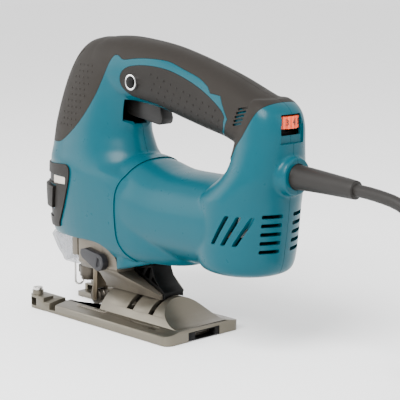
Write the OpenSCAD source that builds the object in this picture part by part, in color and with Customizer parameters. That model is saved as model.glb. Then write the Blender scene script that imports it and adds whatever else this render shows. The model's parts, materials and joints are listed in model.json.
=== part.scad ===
// Corded D-handle jigsaw, as an assembly of separate pieces.
// X runs to the rear, -Y is the tool's left side, Z is up.
// The origin is on the sole of the base plate, where the blade passes through it.

/* [Body] */
// Front of the nose, ahead of the blade
nose_x = 29; // [27:1:34]
// Rear of the housing, behind the blade
tail_x = 206; // [200:1:220]
// Height of the grip's crest above the sole
crest_z = 207.5; // [202:0.5:260]
// Half of the width of the motor barrel
barrel_half = 33; // [32:0.5:42]
// Half of the width of the grip
grip_half = 20; // [18:0.5:26]
// Wall of the moulded shells
shell_wall = 3.4; // [2.8:0.1:4]
// Thickness of the soft overmould
skin = 1.5; // [1:0.1:2]
// How far the motor barrel lies under the shells' surface
barrel_step = 0.8; // [0.4:0.1:1.6]
// Gap between pieces that are moulded to fit each other
seam = 0.1; // [0.06:0.02:0.2]

/* [Motor] */
// Height of the motor axis above the sole
motor_z = 87; // [86:0.5:88]
// Outer radius of the field core
field_r = 26.6; // [25:0.2:27]
// Radius of the armature core
armature_r = 16; // [14:0.5:16.4]
// Gap between the armature and the field
air_gap = 0.6; // [0.4:0.1:1]
// Length of the laminated cores
core_len = 40; // [32:1:42]
// Radius of the armature shaft between its bearings
shaft_r = 5; // [4:0.5:5.5]

/* [Drive] */
// Module of the pinion and the crank gear
gear_module = 1; // [0.9:0.02:1]
// Teeth of the pinion
pinion_teeth = 8; // [8:1:9]
// Teeth of the crank gear
gear_teeth = 40; // [36:1:40]
// Width of the crank gear's teeth
gear_w = 8; // [6:0.5:9]
// Blade travel from lowest to highest
stroke = 26; // [18:1:26]
// Radius of the plunger rod
rod_r = 5; // [4:0.5:5.5]
// Running clearance of shafts in their bores
running = 0.05; // [0.02:0.01:0.1]
// Clearance between pieces that slide past each other
sliding = 0.3; // [0.2:0.05:0.5]

/* [Base] */
// Overall length of the base plate
base_len = 156.6; // [154:0.2:190]
// Overall width of the base plate
base_w = 71; // [66:1:86]
// Height of the base plate's outer edge
base_h = 7; // [6:0.5:8]
// Distance from the base's front edge to the blade
base_lead = 31; // [30:0.5:34]
// Radius of the hump that the base tilts about
hump_r = 24.6; // [24:0.1:25]
// Wall of the hump
hump_wall = 3; // [2.5:0.1:3.5]
// Half of the width of the opening between the prongs
mouth_half = 13; // [12:0.5:14]
// Greatest bevel angle to either side
bevel_max = 45; // [30:5:45]
// Across the flats of the base bolt's hex key
key_af = 4; // [3:0.5:5]

/* [Cord] */
// Diameter of the mains lead
cord_d = 8; // [7:0.2:8]
// Length of the sleeve outside the housing
sleeve_len = 56; // [40:1:58]
// Radius of the middle of the coil's turns
coil_r = 42; // [42:1:42]

/* [Hidden] */

// Facets that the viewer gives a circle; moulded pieces use fewer.
$round = 64;

teal = "#14829a";
soft_dark = "#413c39";
alloy = "#a0968a";
steel = "#b8b8b8";
black = "#1c1c1c";
copper = "#b8683a";
laminate = "#6c6f73";

barrel_floor = motor_z - barrel_half;
barrel_roof = motor_z + barrel_half;
gear_r = gear_module * gear_teeth / 2;
pinion_r = gear_module * pinion_teeth / 2;
gear_z = motor_z + gear_r + pinion_r;
throw = stroke / 2;
plunger_z = gear_z - throw;

// ---- General helpers ----

// Moulded pieces are evaluated whole, as one smooth mesh.
module moulded() {
  $round = 24;
  resize([0, 0, 0]) children();
}

// A curve through the points, with n steps between each two.
function blend(p0, p1, p2, p3, t) =
  0.5 * (2 * p1 + (p2 - p0) * t + (2 * p0 - 5 * p1 + 4 * p2 - p3) * t * t
    + (3 * p1 - p0 - 3 * p2 + p3) * t * t * t);
function smooth(p, n) = let (m = len(p) - 1) concat(
  [for (i = [0:m - 1]) for (k = [0:n - 1])
    blend(p[max(i - 1, 0)], p[i], p[i + 1], p[min(i + 2, m)], k / n)],
  [p[m]]);

// A closed solid through rings of equally many points.
module loft(rings) {
  n = len(rings[0]);
  m = len(rings);
  walls = [for (j = [0:m - 2]) for (i = [0:n - 1]) each [
    [j * n + i, (j + 1) * n + i, (j + 1) * n + (i + 1) % n],
    [j * n + i, (j + 1) * n + (i + 1) % n, j * n + (i + 1) % n]]];
  lids = [[for (i = [0:n - 1]) i], [for (i = [n - 1:-1:0]) (m - 1) * n + i]];
  polyhedron([for (r = rings) each r], concat(walls, lids));
}

// Superellipse ordinate: exponent 2 is an ellipse, more is squarer.
function bulge(a, e) = sign(a) * pow(abs(a), 2 / e);

// Plan ring of n points at height z, from s[1] to s[2] along X, half width s[3], exponent s[4].
function plan_ring(s, z, d, n) = let (
    x0 = s[1] + d, x1 = s[2] - d, b = max(s[3] - d, 0.5), c = (x0 + x1) / 2, a = (x1 - x0) / 2)
  [for (i = [0:n - 1]) let (t = 360 * i / n)
    [c + a * bulge(cos(t), s[4]), b * bulge(sin(t), s[4]), z]];

// Cross ring of n points at x, from s[1] to s[2] along Z, half width s[3], exponent s[4].
function cross_ring(s, x, d, n) = let (
    z0 = s[1] + d, z1 = s[2] - d, b = max(s[3] - d, 0.5), c = (z0 + z1) / 2, a = (z1 - z0) / 2)
  [for (i = [0:n - 1]) let (t = 360 * i / n)
    [x, b * bulge(cos(t), s[4]), c + a * bulge(sin(t), s[4])]];

// Lofts through stations, inset by d on every side.
module column(stations, d, steps, n) {
  s = smooth(stations, steps);
  m = len(s) - 1;
  loft([for (i = [0:m]) plan_ring(s[i], s[i][0] + (i == 0 ? d : i == m ? -d : 0), d, n)]);
}
module beam(stations, d, steps, n) {
  s = smooth(stations, steps);
  m = len(s) - 1;
  loft([for (i = [0:m]) cross_ring(s[i], s[i][0] + (i == 0 ? d : i == m ? -d : 0), d, n)]);
}

// A side outline, given as [x, z] points, drawn through the whole width or from y0 to y1.
module side_prism(points, y0 = -60, y1 = 60, grow = 0) {
  translate([0, y1, 0]) rotate([90, 0, 0]) linear_extrude(y1 - y0)
    if (grow == 0) polygon(points);
    else offset(delta = grow) polygon(points);
}
module along_x(x, y = 0, z = motor_z) { translate([x, y, z]) rotate([0, 90, 0]) children(); }
module along_y(x, y, z) { translate([x, y, z]) rotate([-90, 0, 0]) children(); }
module disc(r, h) { cylinder(r = r, h = h, $fn = $round); }
// A hole in a moulded piece: its flats, not its corners, keep the radius.
module bore(r, h) { disc(r / cos(180 / $round), h); }
module ring(r_out, r_in, h) {
  difference() {
    disc(r_out, h);
    translate([0, 0, -1]) disc(r_in, h + 2);
  }
}
module both_sides() {
  children();
  mirror([0, 1, 0]) children();
}
module left_half() {
  intersection() {
    children();
    translate([-100, -100 - seam / 2, -20]) cube([400, 100, 300]);
  }
}

// ---- Outer form ----

// Nose and front head, from the lower edge up to the front of the grip.
head_stations = [
  [barrel_floor - 3, 9 - nose_x, 120, barrel_half - 7, 2.5],
  [barrel_floor + 8, 1.5 - nose_x, 130, barrel_half - 2, 2.6],
  [motor_z, -nose_x, 130, barrel_half, 2.65],
  [motor_z + 20, 0.3 - nose_x, 110, barrel_half - 0.3, 2.5],
  [motor_z + 29, 0.8 - nose_x, 78, barrel_half - 1.6, 2.3],
  [motor_z + 36, 1.4 - nose_x, 69, barrel_half - 3.2, 2.15],
  [motor_z + 43, 2.2 - nose_x, 65.5, barrel_half - 4.6, 2.1],
  [crest_z - 65, 4 - nose_x, 62.5, barrel_half - 7, 2.1],
  [crest_z - 44, 11 - nose_x, 66, barrel_half - 10.5, 2.2],
  [crest_z - 27, 19 - nose_x, 76, barrel_half - 12, 2.2],
  [crest_z - 13, 29 - nose_x, 82, barrel_half - 15, 2.2],
  [crest_z - 5, 40 - nose_x, 78, barrel_half - 20, 2.1],
  [crest_z - 1.5, 54 - nose_x, 66, barrel_half - 26, 2]
];
// Motor barrel, with its roof rising into the nose and into the rear pillar.
barrel_stations = [
  [48, barrel_floor + 1, barrel_roof + 1, barrel_half - 1, 2.3],
  [66, barrel_floor, barrel_roof + 5, barrel_half - 0.5, 2.3],
  [82, barrel_floor, barrel_roof + 3, barrel_half, 2.3],
  [104, barrel_floor, barrel_roof - 1.2, barrel_half, 2.2],
  [135, barrel_floor, barrel_roof - 1.6, barrel_half, 2.2],
  [155, barrel_floor + 0.8, barrel_roof - 1, barrel_half, 2.2],
  [172, barrel_floor + 1.5, barrel_roof + 2, barrel_half - 0.6, 2.2]
];
// Grip bar.
grip_stations = [
  [16, crest_z - 34, crest_z - 6, grip_half - 6, 2.2],
  [30, crest_z - 46, crest_z - 1.6, grip_half - 0.5, 2.3],
  [48, crest_z - 48, crest_z, grip_half + 0.5, 2.35],
  [66, crest_z - 46.5, crest_z - 0.8, grip_half, 2.4],
  [92, crest_z - 49, crest_z - 3.8, grip_half - 0.8, 2.4],
  [115, crest_z - 54.5, crest_z - 8.4, grip_half - 1.5, 2.3],
  [138, crest_z - 59.5, crest_z - 14.6, grip_half - 1.2, 2.3],
  [158, crest_z - 63.5, crest_z - 21, grip_half, 2.3],
  [178, crest_z - 71, crest_z - 28.6, grip_half + 1, 2.3],
  [192, crest_z - 76, crest_z - 33.5, grip_half + 0.5, 2.2],
  [200, crest_z - 74, crest_z - 38, grip_half - 3, 2.1]
];
// Rear cover and rear pillar.
tail_stations = [
  [barrel_floor + 1.2, 150, tail_x - 22, barrel_half - 17, 2.1],
  [barrel_floor + 3.2, 140, tail_x - 12, barrel_half - 7, 2.1],
  [barrel_floor + 8, 133, tail_x - 7, barrel_half - 2, 2.05],
  [motor_z - 12, 130, tail_x - 4, barrel_half, 2],
  [motor_z + 16, 132, tail_x - 0.6, barrel_half, 2],
  [motor_z + 25, 143, tail_x, barrel_half - 1.2, 2.05],
  [barrel_roof + 1, 156, tail_x + 1, barrel_half - 3.4, 2.1],
  [crest_z - 77, 162, tail_x + 1.8, barrel_half - 6.5, 2.2],
  [crest_z - 64, 166, tail_x + 2.5, barrel_half - 9.5, 2.3],
  [crest_z - 52, 168, tail_x + 3, barrel_half - 11, 2.3],
  [crest_z - 43, 171, tail_x + 1.2, barrel_half - 12.5, 2.2],
  [crest_z - 37, 175, tail_x - 4, barrel_half - 15, 2.1],
  [crest_z - 33.5, 181, tail_x - 11, barrel_half - 19, 2]
];
// The whole outer form, inset by d. The fine one is for surfaces that show.
module body(d, steps = 2, n = 20) {
  column(head_stations, d, steps, n);
  beam(barrel_stations, d, steps, n);
  beam(grip_stations, d, steps, n);
  column(tail_stations, d, steps, n);
}
module hollow(d) { body(d, 1, 12); }

// Side outlines of what covers or divides the body.
front_seam = smooth([[72, barrel_roof + 24], [70, barrel_roof + 15],
  [75, barrel_roof + 8.5], [84, barrel_roof + 8], [79, barrel_roof + 2], [73, motor_z + 24],
  [68.4, motor_z + 13], [67.4, motor_z], [68, motor_z - 18], [71, motor_z - 26],
  [76, barrel_floor + 1], [84, barrel_floor - 3]], 2);
rear_seam = smooth([[158, barrel_floor - 4], [151, barrel_floor + 5], [146.5, motor_z - 17],
  [145, motor_z - 4], [146.2, motor_z + 13], [150, motor_z + 23], [158, barrel_roof - 2],
  [172, barrel_roof + 7], [174, barrel_roof + 14]], 2);
barrel_zone = concat(front_seam, rear_seam, [[110, barrel_roof + 20]]);
grip_edge = concat(
  [[-nose_x - 20, 127.5]],
  smooth([[-9, 128.2], [2, 130], [13.7, 137.8], [25, 150], [37, 168], [46.4, 184.4],
    [53, crest_z - 13.5], [58, crest_z - 12.5], [64, crest_z - 15], [76, crest_z - 13.6],
    [90, crest_z - 13], [106, crest_z - 14], [122, crest_z - 18.5], [137, crest_z - 23],
    [147, crest_z - 28]], 2),
  [[150.5, crest_z - 32], [156, crest_z - 32.5], [160, crest_z - 33], [168.5, crest_z - 47.5]],
  smooth([[163, crest_z - 56], [158, crest_z - 62], [157, crest_z - 72]], 2),
  smooth([[174, crest_z - 72], [178, crest_z - 64], [184, crest_z - 57], [190, crest_z - 47],
    [196, crest_z - 38], [206, crest_z - 30]], 2),
  [[206, crest_z + 20], [-nose_x - 20, crest_z + 20]]);
pad_edge = concat(
  smooth([[105, crest_z - 62], [103, crest_z - 50], [99, crest_z - 46.6], [91, crest_z - 44.5],
    [80, crest_z - 42.6], [69, crest_z - 40.5], [62, crest_z - 35], [60.5, crest_z - 29],
    [63, crest_z - 23.5], [69, crest_z - 20], [79, crest_z - 18.3], [92, crest_z - 18],
    [107, crest_z - 19.6], [122, crest_z - 23.4], [137, crest_z - 28.6], [151, crest_z - 35],
    [162, crest_z - 42], [165.5, crest_z - 46.5]], 2),
  smooth([[160.5, crest_z - 54], [155.5, crest_z - 61], [154, crest_z - 74]], 2));

// ---- Places shared by several pieces ----

wall_x = 38;
wall_t = 14;
fan_x = wall_x + wall_t + 1.5;
fan_w = 10;
core_x = 84;
coil_over = 11;
comm_x = core_x + core_len + coil_over + 3;
comm_len = 14;
comm_r = 11;
tail_bearing_x = comm_x + comm_len + 8;
tail_bearing_w = 7;
tail_bearing_r = 9.5;
tail_journal_r = 4;
front_bearing_x = wall_x + 3;
front_bearing_w = 8;
front_bearing_r = 13;
neck_x = 147;
neck_end = tail_bearing_x + tail_bearing_w + 3;
neck_r = 27;
fan_r = 26;
gear_x = 25.5;
gear_pin_r = 4;
crank_pin_r = 4;
yoke_x = 8;
yoke_w = 8.5;
yoke_half = 20;
yoke_h = 17;
bush_r = 7;
floor_z = 66.5;
low_bush_len = 19;
high_bush_z = gear_z + gear_r + gear_module + 2.5;
high_bush_len = 10;
cheek = 25;
clamp_z = 21.5;
clamp_h = 17.5;
clamp_r = 7.5;
holder_x = 12.5;
holder_z = 44;
holder_pin_r = 2;
roller_r = 6;
roller_x = 11.5;
roller_z = 9.9;
roller_half = 4;
fork_half = 5.7;
lever_x = 46;
lever_z = 46;
lever_pin_r = 3;
bolt_x = 69.3;
bolt_r = 3;
pin_x = 91.5;
foot_x = 92.3;
pin_r = 2;
hump_x = 39;
hump_end = 98;
saddle_r = hump_r + 0.4;
rail_z = 20;
rail_half = 9.4;
key_y = -6;
key_z = 3.4;
key_r = key_af / 2 / cos(30);
guard_x = -12.5;
guard_y = 4;
guard_r = 0.8;
guard_z = 14.2;
guard_run_y = 7;
guard_run_z = 20;
guard_end_x = 22;
trigger_half = 5.5;
trigger_travel = 5;
button_x = 73.6;
button_z = crest_z - 30.2;
button_r = 3.9;
button_travel = 3;
switch_half = 10;
dial_x = tail_x - 12.5;
dial_y = 1;
dial_z = crest_z - 51.8;
dial_r = 13.5;
dial_w = 8;
spindle_r = 3;
release_x = 6 - nose_x;
release_y = 22.5;
release_pin_r = 1.6;
screw_r = 1.5;
exit_z = 125;
sleeve_r = 8.4;
sleeve_x = tail_x + 2;
sleeve_end = tail_x + sleeve_len;
sleeve_tip_z = exit_z - 2.4;
screw_spots = [[9 - nose_x, 118], [22, crest_z - 17], [52, 139], [112, crest_z - 29],
  [158, crest_z - 42], [186, 67], [180, 109]];
// Ribs that hold what lies between the shells: place, bottom and top.
ribs = [[64, crest_z - 38, crest_z - 12], [94, crest_z - 38, crest_z - 12],
  [dial_x - 8, dial_z - 16, dial_z - 4]];
coil_x = 383;
coil_y = 17;
lead_floor = cord_d / 2;

// ---- Housing ----

// Chin below the barrel, narrowing to the rear.
chin_outline = [[62, 42.5], [62, 72], [108, 72], [108, barrel_floor + 1], [101, barrel_floor - 1]];
chin_plan = [[50, 27], [70, 27], [88, 22], [110, 9], [110, -9], [88, -22], [70, -27], [50, -27]];
module chin(inset) {
  intersection() {
    side_prism(chin_outline, grow = -inset);
    translate([0, 0, 30]) linear_extrude(60) offset(delta = -inset) polygon(chin_plan);
  }
}
// Lower edge of the nose, arched over the gear housing's cheek.
nose_edge = concat([[-60, 20], [-60, 57.5], [-24, 58.5]],
  smooth([[-10, 59.6], [20, 60.4], [38, 61], [49, 59.8], [57.3, 55.6], [61.4, 48.5], [62.3, 41.5]], 3),
  [[62.3, 20]]);
module vents() {
  // Three slanted slots in each side.
  for (i = [0:2]) both_sides()
    side_prism([[166.1 + i * 7.9, motor_z - 8.2], [169.3 + i * 7.9, motor_z - 8.2],
      [180.9 + i * 7.9, motor_z + 11.8], [177.7 + i * 7.9, motor_z + 11.8]], 22, 60);
  // Five level slots beside the rear parting line on each side.
  for (i = [0:4]) both_sides()
    translate([tail_x - 15, 5, motor_z - 13 + i * 5.9]) cube([20, 13.5, 2.6]);
}
// Opening for the trigger, with the recess for the finger in front of it.
recess = smooth([[64, 140], [60, 146], [53, 149.4], [48.6, 153], [48, 158], [51, 162],
  [57, 163.6], [66, 163], [78, 161.6]], 2);
module trigger_slot() {
  translate([47.5, -trigger_half - sliding, crest_z - 62])
    cube([43, 2 * (trigger_half + sliding), 28]);
}
// Posts for the screws, on the left of the parting plane.
module screw_posts(r, h) {
  for (p = screw_spots) translate([p[0], 0, p[1]]) rotate([90, 0, 0]) cylinder(r = r, h = h, $fn = 12);
}
// Outline of the gear housing's wall, about both of its axes.
module wall_outline(grow, w) {
  along_x(0, 0, motor_z) bore(gear_r + 4.5 + grow, w);
  along_x(0, 0, gear_z) bore(gear_r + 4.5 + grow, w);
  translate([0, -gear_r - 4.5 - grow, motor_z]) cube([w, 2 * (gear_r + 4.5 + grow), gear_z - motor_z]);
}
// Ribs inside the shell.
module shell_ribs() {
  for (q = ribs) translate([q[0], -60, q[1]]) cube([2.4, 60 - switch_half - seam, q[2] - q[1]]);
  difference() {
    translate([wall_x + 5, -60, barrel_floor]) cube([3, 60, gear_z + 30 - barrel_floor]);
    translate([wall_x, 0, 0]) wall_outline(seam, wall_t);
    translate([wall_x, -cheek - 2, 0]) cube([wall_t, 60, 74]);
  }
}
// One half of the housing, on the left. Screws enter from the other side.
module shell_half() {
  moulded() difference() {
    left_half() union() {
      difference() {
        union() {
          body(0);
          along_x(tail_x - 5, 0, exit_z) cylinder(r1 = 15, r2 = 12.4, h = 11.5, $fn = 32);
        }
        hollow(shell_wall);
        side_prism(barrel_zone, grow = seam);
      }
      difference() {
        chin(0);
        chin(3);
        body(barrel_step - seam);
      }
      intersection() {
        union() {
          screw_posts(4, 60);
          side_prism(recess, -16, 16, shell_wall);
          along_x(tail_x - 12, 0, exit_z) disc(12, 20);
          shell_ribs();
        }
        hollow(1);
      }
    }
    difference() {
      union() {
        side_prism(grip_edge, grow = seam);
        side_prism(pad_edge, grow = seam);
      }
      hollow(skin + seam);
    }
    side_prism(nose_edge);
    translate([wall_x, 0, 0]) wall_outline(seam, wall_t);
    vents();
    trigger_slot();
    side_prism(recess, -14, 14);
    along_x(tail_x - 40, 0, exit_z) bore(sleeve_r, 60);
    along_x(tail_x - 8, 0, exit_z) bore(sleeve_r + 2, 3.2);
    both_sides() {
      translate([dial_x, dial_y, dial_z - 0.3]) disc(dial_r + 0.6, dial_w + 0.6);
      translate([tail_x - 0.6, dial_y - 12, dial_z - 2.5]) cube([10, 24, 12]);
      along_x(tail_x - 0.6, dial_y, dial_z + 7) disc(12, 10);
    }
    children();
  }
}
module handle_shell_left() {
  color(teal) shell_half() {
    screw_posts(screw_r + 0.1, 12);
    along_y(button_x, -40, button_z) disc(button_r + sliding, 40);
  }
}
module handle_shell_right() {
  color(teal) mirror([0, 1, 0]) shell_half() {
    screw_posts(screw_r + 0.6, 60);
    translate([0, -7, 0]) screw_posts(3.8, 60);
  }
}

// Barrel between the front and the rear seam, with the neck that holds the brushes.
module motor_housing() {
  color(teal) moulded() difference() {
    union() {
      intersection() {
        difference() {
          body(barrel_step);
          hollow(2 * shell_wall);
        }
        side_prism(barrel_zone);
      }
      along_x(neck_x - 6) disc(neck_r, neck_end - neck_x + 6);
    }
    along_x(0) bore(field_r + seam / 2, neck_x - 6);
    along_x(neck_x - 7) bore(neck_r - 2, tail_bearing_x - neck_x + 5);
    along_x(tail_bearing_x) bore(tail_bearing_r + seam / 2, 40);
    for (a = [45:90:315]) along_x(tail_bearing_x - 4) rotate([0, 0, a])
      translate([tail_bearing_r + 4, -6, 0]) cube([neck_r - tail_bearing_r - 7, 12, 40]);
    along_x(tail_bearing_x - 5) disc(shaft_r + 2.5, 20);
    side_prism([[40, 0], [40, barrel_floor - 0.5], [170, barrel_floor - 0.5], [170, 0]]);
  }
}

module skin_piece(edge) {
  color(soft_dark) moulded() left_half() difference() {
    intersection() {
      difference() {
        body(0);
        hollow(skin);
      }
      side_prism(edge);
    }
    side_prism(barrel_zone, grow = seam);
    along_y(button_x, -40, button_z) disc(button_r + sliding, 40);
    trigger_slot();
    side_prism(recess, -14, 14);
  }
}
module top_grip_left() { skin_piece(grip_edge); }
module top_grip_right() { mirror([0, 1, 0]) skin_piece(grip_edge); }
module side_pad_left() { skin_piece(pad_edge); }
module side_pad_right() { mirror([0, 1, 0]) skin_piece(pad_edge); }

// Rubber surround on the nose, with a window for the release lever.
pad_outline = smooth([[-60, 112], [-20, 111.5], [8, 113.6], [15, 113], [17.5, 108], [15, 97],
  [9, 83], [1, 69.5], [-6, 64.5], [-60, 64]], 2);
release_outline = [[-60, 76], [-6, 76], [3, 98], [-60, 98]];
module nose_pad() {
  color(soft_dark) moulded() difference() {
    union() {
      difference() {
        body(-1.8);
        side_prism(concat(pad_outline, [[-60, 20], [240, 20], [240, 240], [-60, 240]]));
        side_prism(release_outline, grow = 0.6);
      }
      // Knuckles above and below the release lever.
      for (z = [71.6, 98.4]) translate([release_x, release_y, z]) disc(3, 4);
    }
    both_sides() body(-seam);
    translate([release_x, release_y, 60]) bore(release_pin_r, 60);
  }
}
module blade_release_lever() {
  color(soft_dark) moulded() difference() {
    union() {
      intersection() {
        body(-3.4);
        side_prism([for (q = release_outline) [min(q[0], 15 - nose_x), q[1]]]);
        translate([-100, release_y - 100, 0]) cube(100);
      }
      translate([release_x, release_y, 76]) disc(3.2, 22);
    }
    body(-0.5);
    // Room for the edge beside the pin to swing past the nose.
    translate([release_x + 3.2, release_y - 8, 60]) cube([20, 20, 60]);
    translate([release_x, release_y, 60]) bore(release_pin_r + running, 60);
  }
}

module housing_screws() {
  color(steel) for (p = screw_spots) {
    along_y(p[0], -11, p[1]) disc(screw_r, 18.2);
    along_y(p[0], 7.1, p[1]) difference() {
      disc(3.4, 2.6);
      translate([0, 0, 1.2]) cylinder(r = 1.9, h = 3, $fn = 6);
    }
  }
}

// ---- Gear housing and shoe ----

// Lower part: the cheeks under the nose, tapering to the saddle on the base's hump.
cheek_profile = [[1.6 - cheek, 70], [1.6 - cheek, 60], [-cheek, 59.6], [-cheek, 42], [-22, 38], [-rail_half - 1, 25], [-rail_half, rail_z],
  [rail_half, rail_z], [rail_half + 1, 25], [22, 38], [cheek, 42], [cheek, 59.6],
  [cheek - 1.6, 60], [cheek - 1.6, 70]];
cheek_outline = [[18, 37.5], [36, 37.5], [30, rail_z], [foot_x, rail_z], [foot_x, 26.7], [60, 39.5], [61.4, 43],
  [60.8, 48.2], [57, 55], [49, 59.2], [38, 60.4], [38, 70], [18, 70]];
module gear_housing() {
  color(alloy) difference() {
    union() {
      // Wall between the gears and the motor.
      translate([wall_x, 0, 0]) wall_outline(0, wall_t);
      translate([wall_x, -22, 60]) cube([wall_t, 44, 12]);
      // Side walls and floor of the gear case.
      both_sides() translate([4, 21, floor_z]) cube([wall_x - 3, 2.4, gear_z + 8 - floor_z]);
      translate([-15, -12, floor_z]) cube([20, 24, 3]);
      translate([4, -23.4, floor_z]) cube([wall_x - 3, 46.8, 3]);
      translate([0, 0, floor_z]) disc(bush_r + 3, low_bush_len);
      translate([0, -2, floor_z]) cube([wall_x + 1, 4, low_bush_len - 6]);
      // Beam over the gear with the upper bush's boss.
      translate([0, -8, high_bush_z]) cube([wall_x + 2, 16, high_bush_len]);
      translate([0, 0, high_bush_z]) disc(bush_r + 2.5, high_bush_len);
      // Guide posts of the dust cover.
      both_sides() translate([-3, cover_half + sliding, 42]) cube([6, 3, 26]);
      // Ears of the roller holder.
      both_sides() translate([9, 6, 40]) cube([12, 3.4, 12]);
      both_sides() translate([9, 6, 50]) cube([12, 3.4, 18]);
      // Cheeks and saddle.
      intersection() {
        translate([18, 0, 0]) rotate([90, 0, 90]) linear_extrude(80) polygon(cheek_profile);
        side_prism(cheek_outline);
      }
    }
    // Room under the saddle for the hump to turn in.
    along_x(0, 0, 0) disc(saddle_r, 120);
    // Chamber behind the roller holder.
    translate([14, -5.9, 36]) cube([11, 11.8, 24]);
    along_x(wall_x - 1, 0, motor_z) disc(shaft_r + 1.5, wall_t + 2);
    along_x(front_bearing_x, 0, motor_z) disc(front_bearing_r, 30);
    along_x(wall_x - 1, 0, gear_z) disc(gear_pin_r, 10);
    translate([0, 0, floor_z - 1]) disc(bush_r, low_bush_len + 2);
    translate([0, 0, high_bush_z - 1]) disc(bush_r, high_bush_len + 2);
    along_y(holder_x, -11, holder_z) disc(holder_pin_r, 22);
    along_y(lever_x, -cheek - 1, lever_z) disc(lever_pin_r + running, 9);
    translate([bolt_x, 0, rail_z]) disc(bolt_r, 16);
    translate([pin_x, 0, rail_z]) disc(pin_r, 6);
    translate([guard_end_x, guard_run_y, 30]) disc(guard_r, 11.5);
    translate([guard_x, -guard_y, 60]) disc(guard_r, 12);
  }
}
module plunger_bushes() {
  color(copper) {
    translate([0, 0, floor_z]) ring(bush_r, rod_r + running, low_bush_len);
    translate([0, 0, high_bush_z]) ring(bush_r, rod_r + running, high_bush_len);
  }
}
module gear_pin() { color(steel) along_x(gear_x - 2.5, 0, gear_z) disc(gear_pin_r, wall_x + 9 - gear_x + 2.5); }
module holder_pin() { color(steel) along_y(holder_x, -9.4, holder_z) disc(holder_pin_r, 18.8); }

// Black bracket with ribs, between the saddle and the chin.
bracket_outline = [[62.3, 38.8], [foot_x + seam, 26.8], [foot_x + seam, 20], [94.4, 20], [94.4, 28],
  [89.4, 31.6], [84.4, 37], [81.8, 43], [81.2, 47], [62.3, 42.2]];
module shoe_bracket() {
  color(black) difference() {
    side_prism(bracket_outline, -9, 9);
    along_x(0, 0, 0) disc(saddle_r, 120);
    translate([pin_x, 0, 20]) disc(pin_r + seam, 6);
    both_sides() {
      side_prism([[66, 40.4], [70, 38.8], [74, 43.4], [69, 42.2]], 5, 10);
      side_prism([[72.6, 37.7], [77.4, 35.8], [80, 44.6], [77, 44]], 5, 10);
      side_prism([[79.8, 34.8], [88.4, 31.3], [84.2, 35.6], [82, 38.8]], 5, 10);
    }
  }
}
module base_clamp_plate() {
  color(steel) difference() {
    intersection() {
      along_x(bolt_x - 8, 0, 0) ring(hump_r - hump_wall - sliding, hump_r - hump_wall - 4.3, pin_x - bolt_x + 13);
      translate([0, -7.4, 0]) cube([200, 14.8, 40]);
    }
    translate([bolt_x, 0, 0]) disc(bolt_r, 40);
    translate([pin_x, 0, 0]) disc(pin_r, 40);
  }
}
plate_z = hump_r - hump_wall - 4.3 - 0.9;
module base_bolts() {
  color(steel) {
    translate([bolt_x, 0, plate_z]) disc(bolt_r, 34 - plate_z);
    translate([bolt_x, 0, plate_z - 4]) difference() {
      disc(5, 4);
      translate([0, 0, -1]) cylinder(r = key_r, h = 3.6, $fn = 6);
    }
    translate([pin_x, 0, plate_z]) disc(pin_r, 25.5 - plate_z);
    translate([pin_x, 0, plate_z - 2]) disc(3.6, 2);
  }
}
// Steel wire in front of the blade: down, across and back under the casting.
module wire_guard() {
  turn = [for (a = [180:30:360]) [guard_x, guard_y * cos(a), guard_z + guard_r + guard_y * (1 + sin(a))]];
  color(steel) tube(concat([[guard_x, -guard_y, floor_z + 2.5], [guard_x, -guard_y, 30]], turn,
    [[guard_x + 2, guard_y + 2, guard_run_z], [guard_x + 6, guard_run_y, guard_run_z],
    [guard_end_x - 5, guard_run_y, guard_run_z], [guard_end_x - 1.4, guard_run_y, guard_run_z + 1.4],
    [guard_end_x, guard_run_y, guard_run_z + 5], [guard_end_x, guard_run_y, 40]]), guard_r, 8, 1);
}

// ---- Motor ----

module front_bearing() { color(steel) along_x(front_bearing_x) ring(front_bearing_r, shaft_r + running, front_bearing_w); }
module rear_bearing() { color(steel) along_x(tail_bearing_x) ring(tail_bearing_r, tail_journal_r + running, tail_bearing_w); }

core_in = armature_r + air_gap;
module pole_gap(a0, a1, r0, r1, h) {
  intersection() {
    ring(r1, r0, h);
    linear_extrude(h) polygon([[0, 0], for (a = [a0:(a1 - a0) / 4:a1]) 2 * r1 * [cos(a), sin(a)]]);
  }
}
module field_core() {
  color(laminate) along_x(core_x) difference() {
    ring(field_r, core_in, core_len);
    for (a = [50, 100, 230, 280]) translate([0, 0, -1])
      pole_gap(a, a + 30, core_in - 1, field_r - 4.5, core_len + 2);
  }
}
module field_coils() {
  color(copper) along_x(core_x) for (s = [0, 180]) rotate([0, 0, s]) {
    for (a = [52, 103]) translate([0, 0, 1 - coil_over])
      pole_gap(a, a + 25, core_in + 0.6, field_r - 5, core_len + 2 * coil_over - 2);
    for (z = [-coil_over, core_len + 2]) translate([0, 0, z])
      pole_gap(51, 129, core_in + 0.4, field_r - 1.5, coil_over - 2);
  }
}
slots = 12;
slot_w = 3;
slot_d = 7;
module armature_core() {
  color(laminate) along_x(core_x) difference() {
    ring(armature_r, shaft_r + 1, core_len);
    for (i = [0:slots - 1]) rotate([0, 0, i * 360 / slots])
      translate([armature_r - slot_d, -slot_w / 2, -1]) cube([slot_d + 1, slot_w, core_len + 2]);
  }
}
module armature_windings() {
  color(copper) along_x(core_x) {
    for (i = [0:slots - 1]) rotate([0, 0, i * 360 / slots])
      translate([armature_r - slot_d + 0.3, -slot_w / 2 + 0.1, -2])
        cube([slot_d - 1.6, slot_w - 0.2, core_len + 4]);
    for (z = [-coil_over + 2.5, core_len + 0.3]) translate([0, 0, z])
      ring(armature_r - 1.2, shaft_r + 1, coil_over - 2.8);
  }
}
module commutator() {
  color(copper) along_x(comm_x) difference() {
    ring(comm_r, shaft_r + 1, comm_len);
    for (i = [0:23]) rotate([0, 0, i * 15])
      translate([comm_r - 0.6, -0.25, -1]) cube([2, 0.5, comm_len - 2]);
  }
}
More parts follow.
